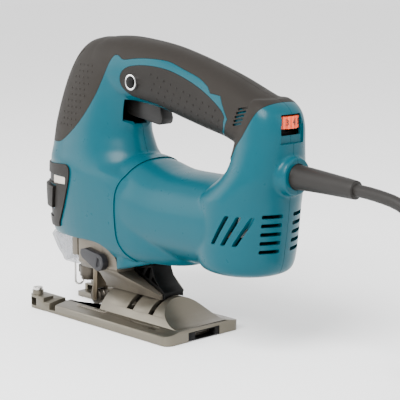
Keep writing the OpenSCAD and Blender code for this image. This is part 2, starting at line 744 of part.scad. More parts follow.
module fan() {
  color(black) along_x(fan_x) {
    ring(fan_r, fan_r - 1.4, fan_w);
    ring(shaft_r + 4, shaft_r + 1, fan_w);
    ring(fan_r - 0.5, shaft_r + 3, 1.4);
    for (i = [0:15]) rotate([0, 0, i * 22.5]) translate([shaft_r + 8, -0.6, 0.5])
      rotate([0, 0, 18]) cube([fan_r - shaft_r - 8.6, 1.2, fan_w - 1]);
  }
}
module brush_holders() {
  color(copper) for (s = [0, 180]) along_x(comm_x + 2) rotate([0, 0, s + 90])
    difference() {
      translate([comm_r + 1.5, -5, 0]) cube([neck_r - comm_r - 4.1, 10, 9.6]);
      translate([comm_r, -3.5, 1.2]) cube([30, 7, 7.2]);
    }
}
module carbon_brushes() {
  color(black) for (s = [0, 180]) along_x(comm_x + 2) rotate([0, 0, s + 90])
    difference() {
      translate([comm_r - 1, -3.45, 1.3]) cube([12, 6.9, 7]);
      translate([0, 0, -1]) disc(comm_r + sliding, 20);
    }
}

// ---- Gears ----

// Involute flank from the base circle out: a point at roll angle t.
function involute(rb, t) = rb * [cos(t) + t * PI / 180 * sin(t), sin(t) - t * PI / 180 * cos(t)];
function roll_at(rb, r) = sqrt(max(r * r / rb / rb - 1, 0)) * 180 / PI;
pressure = 20;
module spur(teeth, shift, play, w) {
  rp = gear_module * teeth / 2;
  rb = rp * cos(pressure);
  ra = rp + gear_module * (1 + shift);
  rf = rp - gear_module * (1.25 - shift);
  r0 = max(rb, rf + 0.05);
  half = 90 / teeth + 2 * shift * tan(pressure) / teeth * 180 / PI - play / rp * 90 / PI;
  inv = roll_at(rb, rp) - pressure;
  flank = [for (k = [0:4]) let (r = r0 + (ra - r0) * k / 4, t = roll_at(rb, r))
    let (q = involute(rb, t), a = atan2(q[1], q[0]) - inv - half) r * [cos(a), sin(a)]];
  mirrored = [for (k = [4:-1:0]) [flank[k][0], -flank[k][1]]];
  edge_a = atan2(flank[0][1], flank[0][0]);
  tooth = concat([rf * [cos(edge_a), sin(edge_a)]], flank, mirrored, [rf * [cos(edge_a), -sin(edge_a)]]);
  linear_extrude(w) polygon([for (i = [0:teeth - 1]) each
    [for (q = tooth) let (a = i * 360 / teeth) [q[0] * cos(a) - q[1] * sin(a), q[0] * sin(a) + q[1] * cos(a)]]]);
}
tooth_play = 0.16;
module armature_shaft() {
  color(steel) {
    along_x(gear_x - 1) spur(pinion_teeth, 0.3, tooth_play, gear_w + 3);
    along_x(gear_x + gear_w + 1.5) disc(shaft_r - 0.8, front_bearing_x - gear_x - gear_w - 1);
    along_x(front_bearing_x - 0.5) disc(shaft_r, front_bearing_w + 1.5);
    along_x(front_bearing_x + front_bearing_w + 0.8) disc(shaft_r + 1, tail_bearing_x - front_bearing_x - front_bearing_w - 1.3);
    along_x(tail_bearing_x - 1) disc(tail_journal_r, tail_bearing_w + 2);
  }
}
module crank_gear() {
  color(steel) along_x(gear_x, 0, gear_z) difference() {
    union() {
      rotate([0, 0, 180 / gear_teeth]) spur(gear_teeth, -0.3, tooth_play, gear_w);
      translate([throw, 0, -1.5]) disc(crank_pin_r + 1.2, 2);
      disc(gear_pin_r + 3, gear_w + 2);
    }
    translate([0, 0, -3]) disc(gear_pin_r + running, 30);
    translate([throw, 0, -3]) disc(crank_pin_r, 30);
    for (a = [105:50:255]) rotate([0, 0, a]) translate([gear_r - 8, 0, -1]) disc(3.2, gear_w + 2);
  }
}
module crank_pin() {
  color(steel) along_x(yoke_x + yoke_w + sliding, 0, gear_z) translate([throw, 0, 0])
    disc(crank_pin_r, gear_x + gear_w - yoke_x - yoke_w - sliding);
}
module plunger_rod() {
  color(steel) {
    translate([0, 0, clamp_z + 8]) disc(rod_r, high_bush_z + high_bush_len + 1.5 - clamp_z - 8);
  }
}
module yoke() {
  color(steel) difference() {
    union() {
      translate([-rod_r - 3, -rod_r - 3, plunger_z - yoke_h / 2]) cube([yoke_x + rod_r + 3.5, 2 * rod_r + 6, yoke_h]);
      translate([yoke_x, -yoke_half, plunger_z - yoke_h / 2]) cube([yoke_w, 2 * yoke_half, yoke_h]);
    }
    translate([0, 0, plunger_z - yoke_h]) disc(rod_r, 2 * yoke_h);
    for (y = [-throw, throw]) along_x(yoke_x - 0.01, y, plunger_z) disc(crank_pin_r + 0.1, yoke_w + 1);
    translate([yoke_x - 0.01, -throw, plunger_z - crank_pin_r - 0.1]) cube([yoke_w + 1, 2 * throw, 2 * crank_pin_r + 0.2]);
  }
}
module blade_clamp() {
  color(alloy) difference() {
    union() {
      translate([0, 0, clamp_z]) disc(clamp_r - 1, clamp_h);
      translate([0, 0, clamp_z + 2.5]) disc(clamp_r, 8);
      translate([-clamp_r - 3.5, -2, clamp_z + 3.5]) cube([6, 4, 6]);
    }
    translate([0, 0, clamp_z + 8]) disc(rod_r, 30);
    translate([-4, -0.9, clamp_z - 1]) cube([8, 1.8, 8]);
  }
}

// ---- Roller guide ----

module roller_holder() {
  color(alloy) difference() {
    union() {
      along_y(holder_x, -fork_half, holder_z) disc(4, 2 * fork_half);
      side_prism([[holder_x - 3.6, holder_z], [holder_x - 2, 37], [holder_x - 2, 22], [roller_x - 2.4, 15],
        [roller_x - 2.4, roller_z], [roller_x + 2.4, roller_z], [roller_x + 3.4, 18],
        [holder_x + 3.4, holder_z]], -fork_half, fork_half);
      along_y(roller_x, -fork_half, roller_z) disc(2.6, 2 * fork_half);
    }
    along_y(holder_x, -10, holder_z) disc(holder_pin_r + running, 20);
    translate([roller_x - 10, -roller_half - sliding, roller_z - 10]) cube([20, 2 * (roller_half + sliding), 17]);
  }
  color(steel) along_y(roller_x, -roller_half - sliding - 0.5, roller_z)
    disc(1.5, 2 * (roller_half + sliding) + 1);
}
module guide_roller() {
  color(steel) along_y(roller_x, -roller_half, roller_z) difference() {
    ring(roller_r, 1.5 + running, 2 * roller_half);
    translate([0, 0, roller_half]) rotate_extrude($fn = 48)
      polygon([[roller_r - 0.9, 0], [roller_r + 1, -1.6], [roller_r + 1, 1.6]]);
  }
}

// ---- Base ----

rear_x = base_len - base_lead;
half_w = base_w / 2;
module plan_corners(r) {
  for (s = [-1, 1]) {
    translate([rear_x - r, s * (half_w - r)]) circle(r = r, $fn = 48);
    translate([r - base_lead, s * (half_w - r)]) circle(r = r, $fn = 48);
  }
}
module base_plan(r) {
  plan_corners(r);
  translate([-base_lead, -half_w + r]) square([base_len, base_w - 2 * r]);
  translate([-base_lead + r, -half_w]) square([base_len - 2 * r, base_w]);
}
// Half section of the plate, from the middle to the rounded outer edge.
plate_profile = [[0, 0], [half_w - 0.5, 0], [half_w, 0.5], [half_w, base_h - 1.2], [half_w - 0.4, base_h - 0.4],
  [half_w - 1.4, base_h], [23, base_h + 1.8], [0, base_h + 1.8]];
module plate_slab(x0, x1) {
  both_sides() translate([x0, 0, 0]) rotate([90, 0, 90]) linear_extrude(x1 - x0) polygon(plate_profile);
}
module arc_slot(x, w) {
  intersection() {
    along_x(x - w / 2, 0, 0) disc(hump_r + 3, w);
    translate([0, 0, 0]) rotate([90, 0, 90]) linear_extrude(200)
      polygon([[0, 0], for (a = [90 - bevel_max - 10:5:90 + bevel_max + 10]) 60 * [cos(a), sin(a)]]);
  }
}
lug_y = 30;
lug_r = 4.2;
channel_z = 2.2;
lug_x = -25.6;
mouth = [[-60, mouth_half], [18, mouth_half], [25, 4], [25, -4], [18, -mouth_half], [-60, -mouth_half]];
// Everything above the hump's rear ramp.
ramp = concat([[hump_end - 30, 60], [hump_end - 30, hump_r + 1], [hump_end, hump_r + 0.5]],
  smooth([[hump_end + 0.6, hump_r - 1], [hump_end + 6, hump_r - 7.6], [hump_end + 12, hump_r - 12],
    [hump_end + 19, base_h + 2.6], [hump_end + 25, base_h + 1.8]], 3), [[200, base_h + 1.8], [200, 60]]);
module base_plate() {
  color(alloy) difference() {
    union() {
      intersection() {
        translate([0, 0, -1]) linear_extrude(60) base_plan(6);
        union() {
          plate_slab(-base_lead, rear_x);
          both_sides() translate([-base_lead, half_w - 9.5, 0]) cube([19, 9.5, base_h + 3]);
          difference() {
            along_x(hump_x, 0, 0) disc(hump_r, hump_end + 25 - hump_x);
            side_prism(ramp);
          }
        }
      }
      both_sides() translate([lug_x, lug_y, 4]) disc(lug_r, base_h + 2);
    }
    translate([-200, -200, -100]) cube([500, 400, 100]);
    // Opening between the prongs, with thin lips beside it.
    translate([0, 0, -1]) linear_extrude(60) polygon(mouth);
    translate([-base_lead - 1, -20, 4]) cube([base_lead + hump_x - 1, 40, 60]);
    // Channel under the hump.
    along_x(hump_x - 6, 0, 0) disc(hump_r - hump_wall, hump_end - hump_x + 6);
    arc_slot(bolt_x, 2 * bolt_r + 1);
    arc_slot(pin_x, 2 * pin_r + 1);
    // Recess for the key clip, open to the rear and below.
    translate([hump_end - 1, -15, -1]) cube([rear_x - hump_end + 2, 30, 7.6]);
    both_sides() {
      // Rip fence channels, front and second.
      translate([-28, 19, channel_z]) cube([7, 30, base_h - 1]);
      translate([-5, 19, channel_z]) cube([7, 30, 20]);
      // Slots beside the hump.
      translate([78, 26, -1]) cube([22, 2, 20]);
      translate([99, 25, -1]) cube([8, 5, 20]);
      translate([lug_x, lug_y, channel_z + base_h - 2]) disc(2.5, 30);
    }
  }
}
module fence_screw() {
  color(steel) translate([lug_x, -lug_y, 0]) {
    translate([0, 0, 9.6]) disc(2.45, base_h - 2);
    translate([0, 0, base_h + 6.1]) difference() {
      disc(3.6, 2.2);
      translate([0, 0, 0.8]) cube([6, 1, 4], center = true);
    }
  }
}
clip_x = hump_end + 9;
key_end = rear_x - 4;
module key_clip() {
  color(black) difference() {
    translate([clip_x, -14.9, 0.5]) cube([rear_x - clip_x - 0.3, 29.8, 6]);
    along_x(clip_x - 1, key_y, key_z) disc(key_r + seam, 60);
    translate([key_end - 2 * key_r - sliding, key_y - key_r - seam, key_z - key_r - seam])
      cube([20, 19, 2 * (key_r + seam)]);
  }
}
module hex_key() {
  color(steel) {
    translate([bolt_x - 8, key_y, key_z]) rotate([0, 90, 0])
      cylinder(r = key_r, h = key_end - bolt_x + 8, $fn = 6);
    translate([key_end - key_r, key_y, key_z]) rotate([-90, 0, 0]) cylinder(r = key_r, h = 15, $fn = 6);
  }
}

// ---- Controls ----

trigger_outline = concat(smooth([[51, 163], [49.6, 157], [50.6, 153], [56, 151.1], [68, 149.5],
  [80, 147.7], [85, 147.1], [88, 148.4], [88.8, 152]], 2), [[87, 157], [87, 167], [51, 167]]);
module trigger() {
  color(soft_dark) side_prism([for (p = trigger_outline) [p[0], p[1] + crest_z - 207.5]],
    -trigger_half, trigger_half);
}
switch_z = crest_z - 34.5;
module switch_body() {
  color(black) {
    translate([58, -switch_half, switch_z]) cube([44, 2 * switch_half, 19]);
  }
}
module lock_button() {
  color(black) along_y(button_x, -grip_half - 2.6, button_z) {
    disc(button_r, grip_half + 2.6 - switch_half - sliding - button_travel);
  }
}
module speed_dial() {
  color("#e6643c") translate([dial_x, dial_y, dial_z]) difference() {
    union() {
      disc(dial_r - 0.8, dial_w);
      for (i = [0:23]) rotate([0, 0, i * 15]) translate([dial_r - 1.6, -0.9, 0]) cube([1.6, 1.8, dial_w]);
    }
    translate([0, 0, -1]) disc(spindle_r + running, dial_w + 2);
  }
}
module speed_controller() {
  color(black) {
    translate([dial_x - 15, -10, dial_z - 14.6]) cube([22, 20, 12]);
    translate([dial_x, dial_y, dial_z - 3]) disc(spindle_r, dial_w);
    translate([dial_x, dial_y, dial_z - 3]) disc(spindle_r + 3, 2.7);
  }
}
module orbital_lever() {
  color(black) {
    along_y(lever_x, -cheek + 7, lever_z) mirror([0, 0, 1]) disc(lever_pin_r, 8.5);
    along_y(lever_x, -cheek - 5.8, lever_z) difference() {
      disc(6.4, 5.5);
      translate([0, 0, -1]) disc(3.4, 2);
    }
    side_prism([[lever_x - 2, lever_z - 6], [lever_x + 1, lever_z + 6], [32, 54.4], [27.6, 53.2], [26.4, 50], [28.6, 47]],
      -cheek - 5.8, -cheek - 0.3);
  }
}
module lever_pin() {
  color(steel) translate([release_x, release_y, 72]) disc(release_pin_r, 30);
}

// ---- Dust cover ----

cover_half = 10.7;
cover_out = [[-32, 53.2], [-19, 34.6], [-17, 34], [-2, 34], [-2, 57.1], [-28, 57.1]];
cover_in = [[-29.8, 53.4], [-17.8, 36.6], [-17.8, 30], [10, 30], [10, 70], [-20, 70], [-27, 57]];
cover_slope = [[0, 30], [9.4, 30], [9.4, 38], [cover_half, 43], [cover_half, 60], [0, 60]];
module cover_section(inset) {
  both_sides() translate([-40, 0, 0]) rotate([90, 0, 90]) linear_extrude(60)
    polygon([for (p = cover_slope) [max(p[0] - inset, 0), p[1]]]);
}
module dust_cover() {
  color("#8c9096") difference() {
    intersection() {
      side_prism(cover_out);
      cover_section(0);
    }
    intersection() {
      side_prism(cover_in);
      cover_section(1.3);
    }
  }
}

// ---- Cord ----

// Each ring: place along X, sag below the exit, radius.
sleeve_rings = [[tail_x - 10, 0, sleeve_r - 0.1], [tail_x - 7.9, 0, sleeve_r - 0.1],
  [tail_x - 7.9, 0, sleeve_r + 1.9], [tail_x - 4.9, 0, sleeve_r + 1.9], [tail_x - 4.9, 0, sleeve_r - 0.1],
  [tail_x + 5, 0, sleeve_r - 0.1], [tail_x + 8, 0.1, sleeve_r - 0.3], [tail_x + 22, 0.6, sleeve_r - 0.9],
  [tail_x + 38, 1.4, cord_d / 2 + 2.8], [sleeve_end - 2, 2.3, cord_d / 2 + 2.1], [sleeve_end, 2.4, cord_d / 2 + 1.4]];
module cord_sleeve() {
  color(soft_dark) loft([for (q = sleeve_rings)
    [for (j = [0:19]) let (c = 18 * j) [q[0], q[2] * cos(c), exit_z - q[1] + q[2] * sin(c)]]]);
}
module cord_clamp() {
  color(black) difference() {
    translate([tail_x - 21, -11, exit_z - 6.4]) cube([9 - seam, 22, 12.8]);
    along_x(tail_x - 23, 0, exit_z) disc(cord_d / 2 + 0.05, 20);
  }
}
lead_route = [[262, 0, 122.6], [272, 0, 122], [284, 0, 120.6], [296, 0, 118], [307, -1, 112.6], [316, -3, 104.2],
  [323.5, -6, 93], [329.5, -9, 80], [335, -12, 66.5], [341, -15.2, 53.5], [348.8, -18.6, 42], [358.3, -21.6, 32.6],
  [368, -23.6, 26.6], [377.5, -24.6, 22.4], [386.7, -24.8, 20]];
tail_route = [[378.6, 66.8, 4], [368, 66, 4], [357, 64.5, 5], [347, 61.9, 8.4], [339, 59.2, 12.2], [333, 57, 14.1]];
// The plug lies beside the coil, on the tail's end.
plug_angle = 200;
// A tube of even thickness through the points.
function cross_dir(v) = let (s = cross(v, [0.02, 1, 0.3])) s / norm(s);
module tube(route, r, n, k) {
  p = smooth(route, k);
  m = len(p) - 1;
  loft([for (i = [0:m])
    let (v = p[min(i + 1, m)] - p[max(i - 1, 0)], t = v / norm(v), a = cross_dir(t), b = cross(t, a))
    [for (j = [0:n - 1]) let (c = 360 * j / n) p[i] + r * (a * cos(c) + b * sin(c))]]);
}
module cord_lead() { color(soft_dark) tube(lead_route, cord_d / 2, 8, 1); }
module cord_tail() { color(soft_dark) tube(tail_route, cord_d / 2, 8, 1); }
module cord_coil() {
  r0 = coil_r - 1.5 * cord_d;
  r1 = coil_r + 1.5 * cord_d;
  color(soft_dark) translate([coil_x, coil_y, 0]) rotate_extrude($fn = 96)
    polygon([[r0, 0.1], [r1, 0.1], [r1, 3 * cord_d], [r1 - 2 * cord_d, 3 * cord_d], [r1 - 2 * cord_d, 2 * cord_d], [r0, 2 * cord_d]]);
}
module plug() {
  place = tail_route[len(tail_route) - 1];
  translate(place) rotate([0, 0, plug_angle]) {
    color(soft_dark) along_x(0, 0, 0) {
      cylinder(r1 = 6, r2 = 9, h = 12, $fn = 40);
      translate([0, 0, 12]) cylinder(r1 = 13.6, r2 = 14, h = 26, $fn = 48);
    }
    color(steel) for (s = [-1, 1]) along_x(37.8, s * 9.5, 0) disc(2.4, 19);
  }
}

handle_shell_left();
handle_shell_right();
motor_housing();
top_grip_left();
top_grip_right();
side_pad_left();
side_pad_right();
nose_pad();
housing_screws();
gear_housing();
shoe_bracket();
base_clamp_plate();
base_bolts();
wire_guard();
plunger_bushes();
gear_pin();
holder_pin();
lever_pin();
front_bearing();
rear_bearing();
field_core();
field_coils();
brush_holders();
carbon_brushes();
switch_body();
speed_controller();
cord_clamp();
armature_shaft();
armature_core();
armature_windings();
commutator();
fan();
crank_gear();
crank_pin();
plunger_rod();
yoke();
blade_clamp();
roller_holder();
guide_roller();
base_plate();
fence_screw();
key_clip();
hex_key();
trigger();
lock_button();
speed_dial();
orbital_lever();
blade_release_lever();
dust_cover();
cord_sleeve();
cord_lead();
cord_coil();
cord_tail();
plug();
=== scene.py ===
"""Corded D-handle jigsaw: the looks of every piece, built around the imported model.

Lengths in the tables are millimetres, in the model's own frame: X runs to the
rear, -Y is the tool's left side, Z is up, and the origin is on the sole under
the blade.
"""

import json
import logging
import math
from dataclasses import dataclass, field
from enum import Enum
from typing import Callable, Iterable, Optional, Sequence

import bmesh
import bpy
import numpy as np
from mathutils import Matrix, Vector

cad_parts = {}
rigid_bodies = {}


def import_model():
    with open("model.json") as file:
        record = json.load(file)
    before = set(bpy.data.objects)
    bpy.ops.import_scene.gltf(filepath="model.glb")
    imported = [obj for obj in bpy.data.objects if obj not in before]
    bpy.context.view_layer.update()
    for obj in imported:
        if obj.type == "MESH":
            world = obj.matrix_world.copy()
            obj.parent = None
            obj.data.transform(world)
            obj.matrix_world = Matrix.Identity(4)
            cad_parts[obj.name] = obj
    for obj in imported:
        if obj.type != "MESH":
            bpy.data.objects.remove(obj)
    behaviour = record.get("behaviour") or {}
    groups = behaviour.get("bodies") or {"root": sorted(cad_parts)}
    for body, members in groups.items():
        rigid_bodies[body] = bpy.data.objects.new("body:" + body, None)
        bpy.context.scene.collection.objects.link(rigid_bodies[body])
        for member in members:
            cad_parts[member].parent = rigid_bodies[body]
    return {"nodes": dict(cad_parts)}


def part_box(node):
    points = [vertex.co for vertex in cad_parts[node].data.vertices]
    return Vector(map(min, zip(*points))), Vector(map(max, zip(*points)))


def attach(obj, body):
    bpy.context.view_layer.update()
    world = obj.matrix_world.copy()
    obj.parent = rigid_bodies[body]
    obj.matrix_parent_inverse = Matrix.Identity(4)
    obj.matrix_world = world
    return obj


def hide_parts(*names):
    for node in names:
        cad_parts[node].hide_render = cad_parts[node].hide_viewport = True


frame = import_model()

LOG = logging.getLogger("jigsaw")
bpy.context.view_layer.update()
# One millimetre in metres, and the parting plane's half gap in millimetres.
MM = 0.001
PARTING = 0.15

Point2 = tuple[float, float]
Point3 = tuple[float, float, float]
Station = tuple[float, float, float, float, float]


class Grain(Enum):
    """Surface textures that a finish may have."""

    MOULDED = "moulded"
    SOFT = "soft"
    CAST = "cast"
    BRUSHED = "brushed"
    POLISHED = "polished"
    CLEAR = "clear"
    LAMINATED = "laminated"


class Op(Enum):
    """How one solid acts on another."""

    CUT = "DIFFERENCE"
    KEEP = "INTERSECT"
    JOIN = "UNION"


@dataclass(frozen=True)
class Finish:
    """One finish: its colour, gloss and surface texture."""

    name: str
    rgb: tuple[int, int, int]
    slot: str
    grain: Grain
    roughness: float = 0.4
    metallic: float = 0.0
    variation: float = 0.04
    grain_mm: float = 0.6
    relief_mm: float = 0.02
    coat: float = 0.0
    specular: float = 0.5

    def linear(self, factor: float = 1.0) -> tuple[float, float, float, float]:
        """The colour in linear light.

        Args:
            factor: brightness relative to the finish's own.

        Returns:
            Red, green, blue and alpha.
        """
        out = []
        for c in self.rgb:
            v = c / 255
            v = v / 12.92 if v <= 0.04045 else ((v + 0.055) / 1.055) ** 2.4
            out.append(min(v * factor, 1.0))
        return (out[0], out[1], out[2], 1.0)

    def material(self) -> bpy.types.Material:
        """The node material, made once and shared by the pieces.

        Returns:
            The material.
        """
        if self.name in bpy.data.materials:
            return bpy.data.materials[self.name]
        mat = bpy.data.materials.new(self.name)
        mat.use_nodes = True
        tree = mat.node_tree
        shader = tree.nodes["Principled BSDF"]
        shader.inputs["Metallic"].default_value = self.metallic
        shader.inputs["Coat Weight"].default_value = self.coat
        shader.inputs["Coat Roughness"].default_value = 0.15
        shader.inputs["Specular IOR Level"].default_value = self.specular
        place = tree.nodes.new("ShaderNodeTexCoord").outputs["Object"]
        broad = self._noise(tree, place, 22.0, 3.0)
        mix = tree.nodes.new("ShaderNodeMix")
        mix.data_type = "RGBA"
        mix.inputs["A"].default_value = self.linear(1 - self.variation)
        mix.inputs["B"].default_value = self.linear(1 + self.variation)
        tree.links.new(broad, mix.inputs["Factor"])
        tree.links.new(mix.outputs["Result"], shader.inputs["Base Color"])
        worn = self._noise(tree, place, 6.0, 4.0)
        gloss = tree.nodes.new("ShaderNodeMapRange")
        gloss.inputs["To Min"].default_value = max(self.roughness - 0.07, 0.02)
        gloss.inputs["To Max"].default_value = self.roughness + 0.07
        tree.links.new(worn, gloss.inputs["Value"])
        tree.links.new(gloss.outputs["Result"], shader.inputs["Roughness"])
        self._relief(tree, place, shader)
        if self.grain is Grain.CLEAR:
            shader.inputs["Transmission Weight"].default_value = 0.85
            shader.inputs["IOR"].default_value = 1.35
            shader.inputs["Alpha"].default_value = 0.55
        return mat

    def _noise(self, tree: bpy.types.NodeTree, place: bpy.types.NodeSocket, size_mm: float,
               detail: float) -> bpy.types.NodeSocket:
        """A noise of the given grain size, read at place."""
        node = tree.nodes.new("ShaderNodeTexNoise")
        node.inputs["Scale"].default_value = 1 / (size_mm * MM)
        node.inputs["Detail"].default_value = detail
        tree.links.new(place, node.inputs["Vector"])
        return node.outputs["Fac"]

    def _relief(self, tree: bpy.types.NodeTree, place: bpy.types.NodeSocket,
                shader: bpy.types.ShaderNode) -> None:
        """Joins the texture's height to the shader's normal."""
        where = place
        if self.grain in (Grain.BRUSHED, Grain.LAMINATED):
            squeeze = tree.nodes.new("ShaderNodeMapping")
            stretch = (1.0, 1.0, 0.04) if self.grain is Grain.BRUSHED else (1.0, 0.01, 0.01)
            squeeze.inputs["Scale"].default_value = stretch
            tree.links.new(place, squeeze.inputs["Vector"])
            where = squeeze.outputs["Vector"]
        height = self._noise(tree, where, self.grain_mm, 2.0)
        bump = tree.nodes.new("ShaderNodeBump")
        bump.inputs["Strength"].default_value = 0.6
        bump.inputs["Distance"].default_value = self.relief_mm * MM
        tree.links.new(height, bump.inputs["Height"])
        if self.grain is Grain.CAST:
            waves = self._noise(tree, place, self.grain_mm * 5, 1.0)
            second = tree.nodes.new("ShaderNodeBump")
            second.inputs["Strength"].default_value = 0.5
            second.inputs["Distance"].default_value = self.relief_mm * 2 * MM
            tree.links.new(waves, second.inputs["Height"])
            tree.links.new(bump.outputs["Normal"], second.inputs["Normal"])
            bump = second
        tree.links.new(bump.outputs["Normal"], shader.inputs["Normal"])


class Kit:
    """The finishes of the tool."""

    TEAL = Finish("teal_moulding", (0, 64, 75), "teal_shell", Grain.MOULDED,
                  0.3, 0.0, 0.03, 0.5, 0.012, 0.0, 0.15)
    SOFT = Finish("soft_overmould", (33, 30, 27), "soft_grip", Grain.SOFT,
                  0.55, 0.0, 0.05, 0.45, 0.03, 0.0, 0.1)
    PAD = Finish("soft_pad", (29, 27, 25), "soft_grip", Grain.SOFT, 0.5, 0.0, 0.05, 0.4, 0.03, 0.0, 0.1)
    BLACK = Finish("black_moulding", (5, 5, 5), "black_plastic", Grain.MOULDED,
                   0.42, 0.0, 0.08, 0.5, 0.015, 0.0, 0.1)
    TRIGGER = Finish("trigger_moulding", (17, 16, 15), "soft_grip", Grain.MOULDED,
                     0.42, 0.0, 0.05, 0.5, 0.015, 0.0, 0.25)
    GREY = Finish("grey_moulding", (24, 24, 27), "black_plastic", Grain.MOULDED,
                  0.42, 0.0, 0.05, 0.5, 0.015, 0.0, 0.3)
    CAST = Finish("cast_alloy_finish", (98, 92, 82), "cast_alloy", Grain.CAST, 0.42, 0.7, 0.08, 0.9, 0.05)
    # Painted highlight: the base plate is the same cast metal as the gear casting, given the lighter tone of that
    # metal's lit highlights.
    PLATE_WITH_HIGHLIGHT = Finish("base_alloy_painted_highlight", (104, 99, 88), "cast_alloy", Grain.CAST, 0.36, 0.85, 0.08, 0.8, 0.03)
    STEEL = Finish("bright_steel", (196, 194, 190), "steel", Grain.BRUSHED, 0.28, 1.0, 0.05, 0.3, 0.01)
    DARK_STEEL = Finish("dark_steel", (78, 73, 66), "steel", Grain.BRUSHED, 0.4, 0.9, 0.1, 0.5, 0.015)
    ZINC = Finish("plated_steel", (104, 94, 78), "cast_alloy", Grain.CAST, 0.4, 0.85, 0.12, 0.7, 0.04)
    CHROME = Finish("bright_ring", (220, 220, 220), "steel", Grain.POLISHED, 0.15, 1.0, 0.02, 0.5, 0.004)
    COPPER = Finish("copper_wire", (184, 108, 62), "copper_alloy", Grain.BRUSHED, 0.35, 0.9, 0.12, 0.5, 0.05)
    LAMINATE = Finish("core_sheets", (112, 114, 118), "laminations", Grain.LAMINATED,
                      0.45, 0.8, 0.06, 0.5, 0.08)
    CARBON = Finish("brush_carbon", (30, 30, 32), "carbon", Grain.CAST, 0.6, 0.1, 0.1, 0.4, 0.02)
    ORANGE = Finish("dial_orange", (226, 84, 42), "orange_plastic", Grain.MOULDED, 0.4, 0.0, 0.05, 0.5, 0.01)
    BEIGE = Finish("light_insert", (186, 178, 166), "cast_alloy", Grain.CAST, 0.45, 0.5, 0.06, 0.7, 0.02)
    INK = Finish("dial_figures", (40, 20, 14), "black_plastic", Grain.MOULDED, 0.5, 0.0, 0.03, 0.4, 0.005)
    CLEAR = Finish("smoky_cover", (120, 124, 132), "smoky_clear", Grain.CLEAR, 0.12, 0.0, 0.03, 2.0, 0.004)
    RUBBER = Finish("cord_rubber_finish", (27, 25, 23), "cord_rubber", Grain.SOFT,
                    0.5, 0.0, 0.06, 0.7, 0.02, 0.0, 0.25)


# ---- Bench tools ----


def alone(obj: bpy.types.Object) -> None:
    """Selects only this object and makes it active."""
    for other in bpy.context.view_layer.objects:
        other.select_set(False)
    obj.hide_viewport = False
    obj.select_set(True)
    bpy.context.view_layer.objects.active = obj


def made(name: str, verts: Sequence[Sequence[float]], faces: Sequence[Sequence[int]]) -> bpy.types.Object:
    """A mesh object from points in metres and faces.

    Args:
        name: the object's name.
        verts: the points.
        faces: the faces, as indices of points.

    Returns:
        The object, linked to the scene.
    """
    mesh = bpy.data.meshes.new(name)
    mesh.from_pydata([tuple(v) for v in verts], [], [tuple(f) for f in faces])
    mesh.update()
    obj = bpy.data.objects.new(name, mesh)
    bpy.context.scene.collection.objects.link(obj)
    return obj


def apply_modifier(obj: bpy.types.Object, kind: str, **settings: object) -> bpy.types.Object:
    """Adds one modifier to the object and applies it.

    Args:
        obj: the object.
        kind: the modifier's type.
        **settings: its properties.

    Returns:
        The same object.
    """
    alone(obj)
    modifier = obj.modifiers.new(kind.lower(), kind)
    for key, value in settings.items():
        setattr(modifier, key, value)
    bpy.ops.object.modifier_apply(modifier=modifier.name)
    return obj


def combine(obj: bpy.types.Object, tool: bpy.types.Object, op: Op = Op.CUT, keep: bool = False) -> bpy.types.Object:
    """Cuts, keeps or joins one solid with another.

    Args:
        obj: the solid that is changed.
        tool: the solid that acts on it.
        op: what it does.
        keep: whether the tool stays.

    Returns:
        The changed solid.
    """
    apply_modifier(obj, "BOOLEAN", operation=op.value, solver="MANIFOLD", object=tool)
    if not keep:
        bpy.data.objects.remove(tool)
    return obj


def rounded(obj: bpy.types.Object, width: float, segments: int = 3, angle: float = 30) -> bpy.types.Object:
    """Rounds over the edges of a solid.

    Args:
        obj: the solid.
        width: the width of the rounding, in millimetres.
        segments: its steps.
        angle: edges sharper than this are rounded, in degrees.

    Returns:
        The same solid.
    """
    return apply_modifier(obj, "BEVEL", width=width * MM, segments=segments, limit_method="ANGLE",
                          angle_limit=math.radians(angle))


def copy_of(obj: bpy.types.Object, name: str) -> bpy.types.Object:
    """A copy of the object with its own mesh."""
    twin = obj.copy()
    twin.data = obj.data.copy()
    twin.name = name
    twin.parent = None
    for key in list(twin.keys()):
        if key.startswith("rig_"):
            del twin[key]
    bpy.context.scene.collection.objects.link(twin)
    twin.hide_viewport = False
    twin.hide_render = False
    return twin


def mirrored(obj: bpy.types.Object, name: str) -> bpy.types.Object:
    """A copy of the object on the other side of the middle plane."""
    twin = copy_of(obj, name)
    twin.data.transform(Matrix.Scale(-1, 4, (0, 1, 0)))
    twin.data.flip_normals()
    return twin


def prism(outline: Sequence[Point2], y0: float = -60, y1: float = 60, name: str = "prism") -> bpy.types.Object:
    """A side outline of [x, z] points, drawn across from y0 to y1."""
    area = sum(p[0] * q[1] - q[0] * p[1] for p, q in zip(outline, [*outline[1:], outline[0]]))
    points = list(outline) if area > 0 else list(reversed(outline))
    n = len(points)
    verts = [(x * MM, y * MM, z * MM) for y in (y0, y1) for x, z in points]
    faces = [list(range(n)), list(range(2 * n - 1, n - 1, -1))]
    faces += [[i, i + n, (i + 1) % n + n, (i + 1) % n] for i in range(n)]
    return made(name, verts, faces)


def box(lo: Point3, hi: Point3, name: str = "block") -> bpy.types.Object:
    """A block between two corners."""
    return prism([(lo[0], lo[2]), (hi[0], lo[2]), (hi[0], hi[2]), (lo[0], hi[2])], lo[1], hi[1], name)


def left_only(obj: bpy.types.Object) -> bpy.types.Object:
    """Keeps the part of a solid on the tool's left, short of the parting plane."""
    return combine(obj, box((-80, -80, -20), (300, -PARTING, 260)), Op.KEEP)


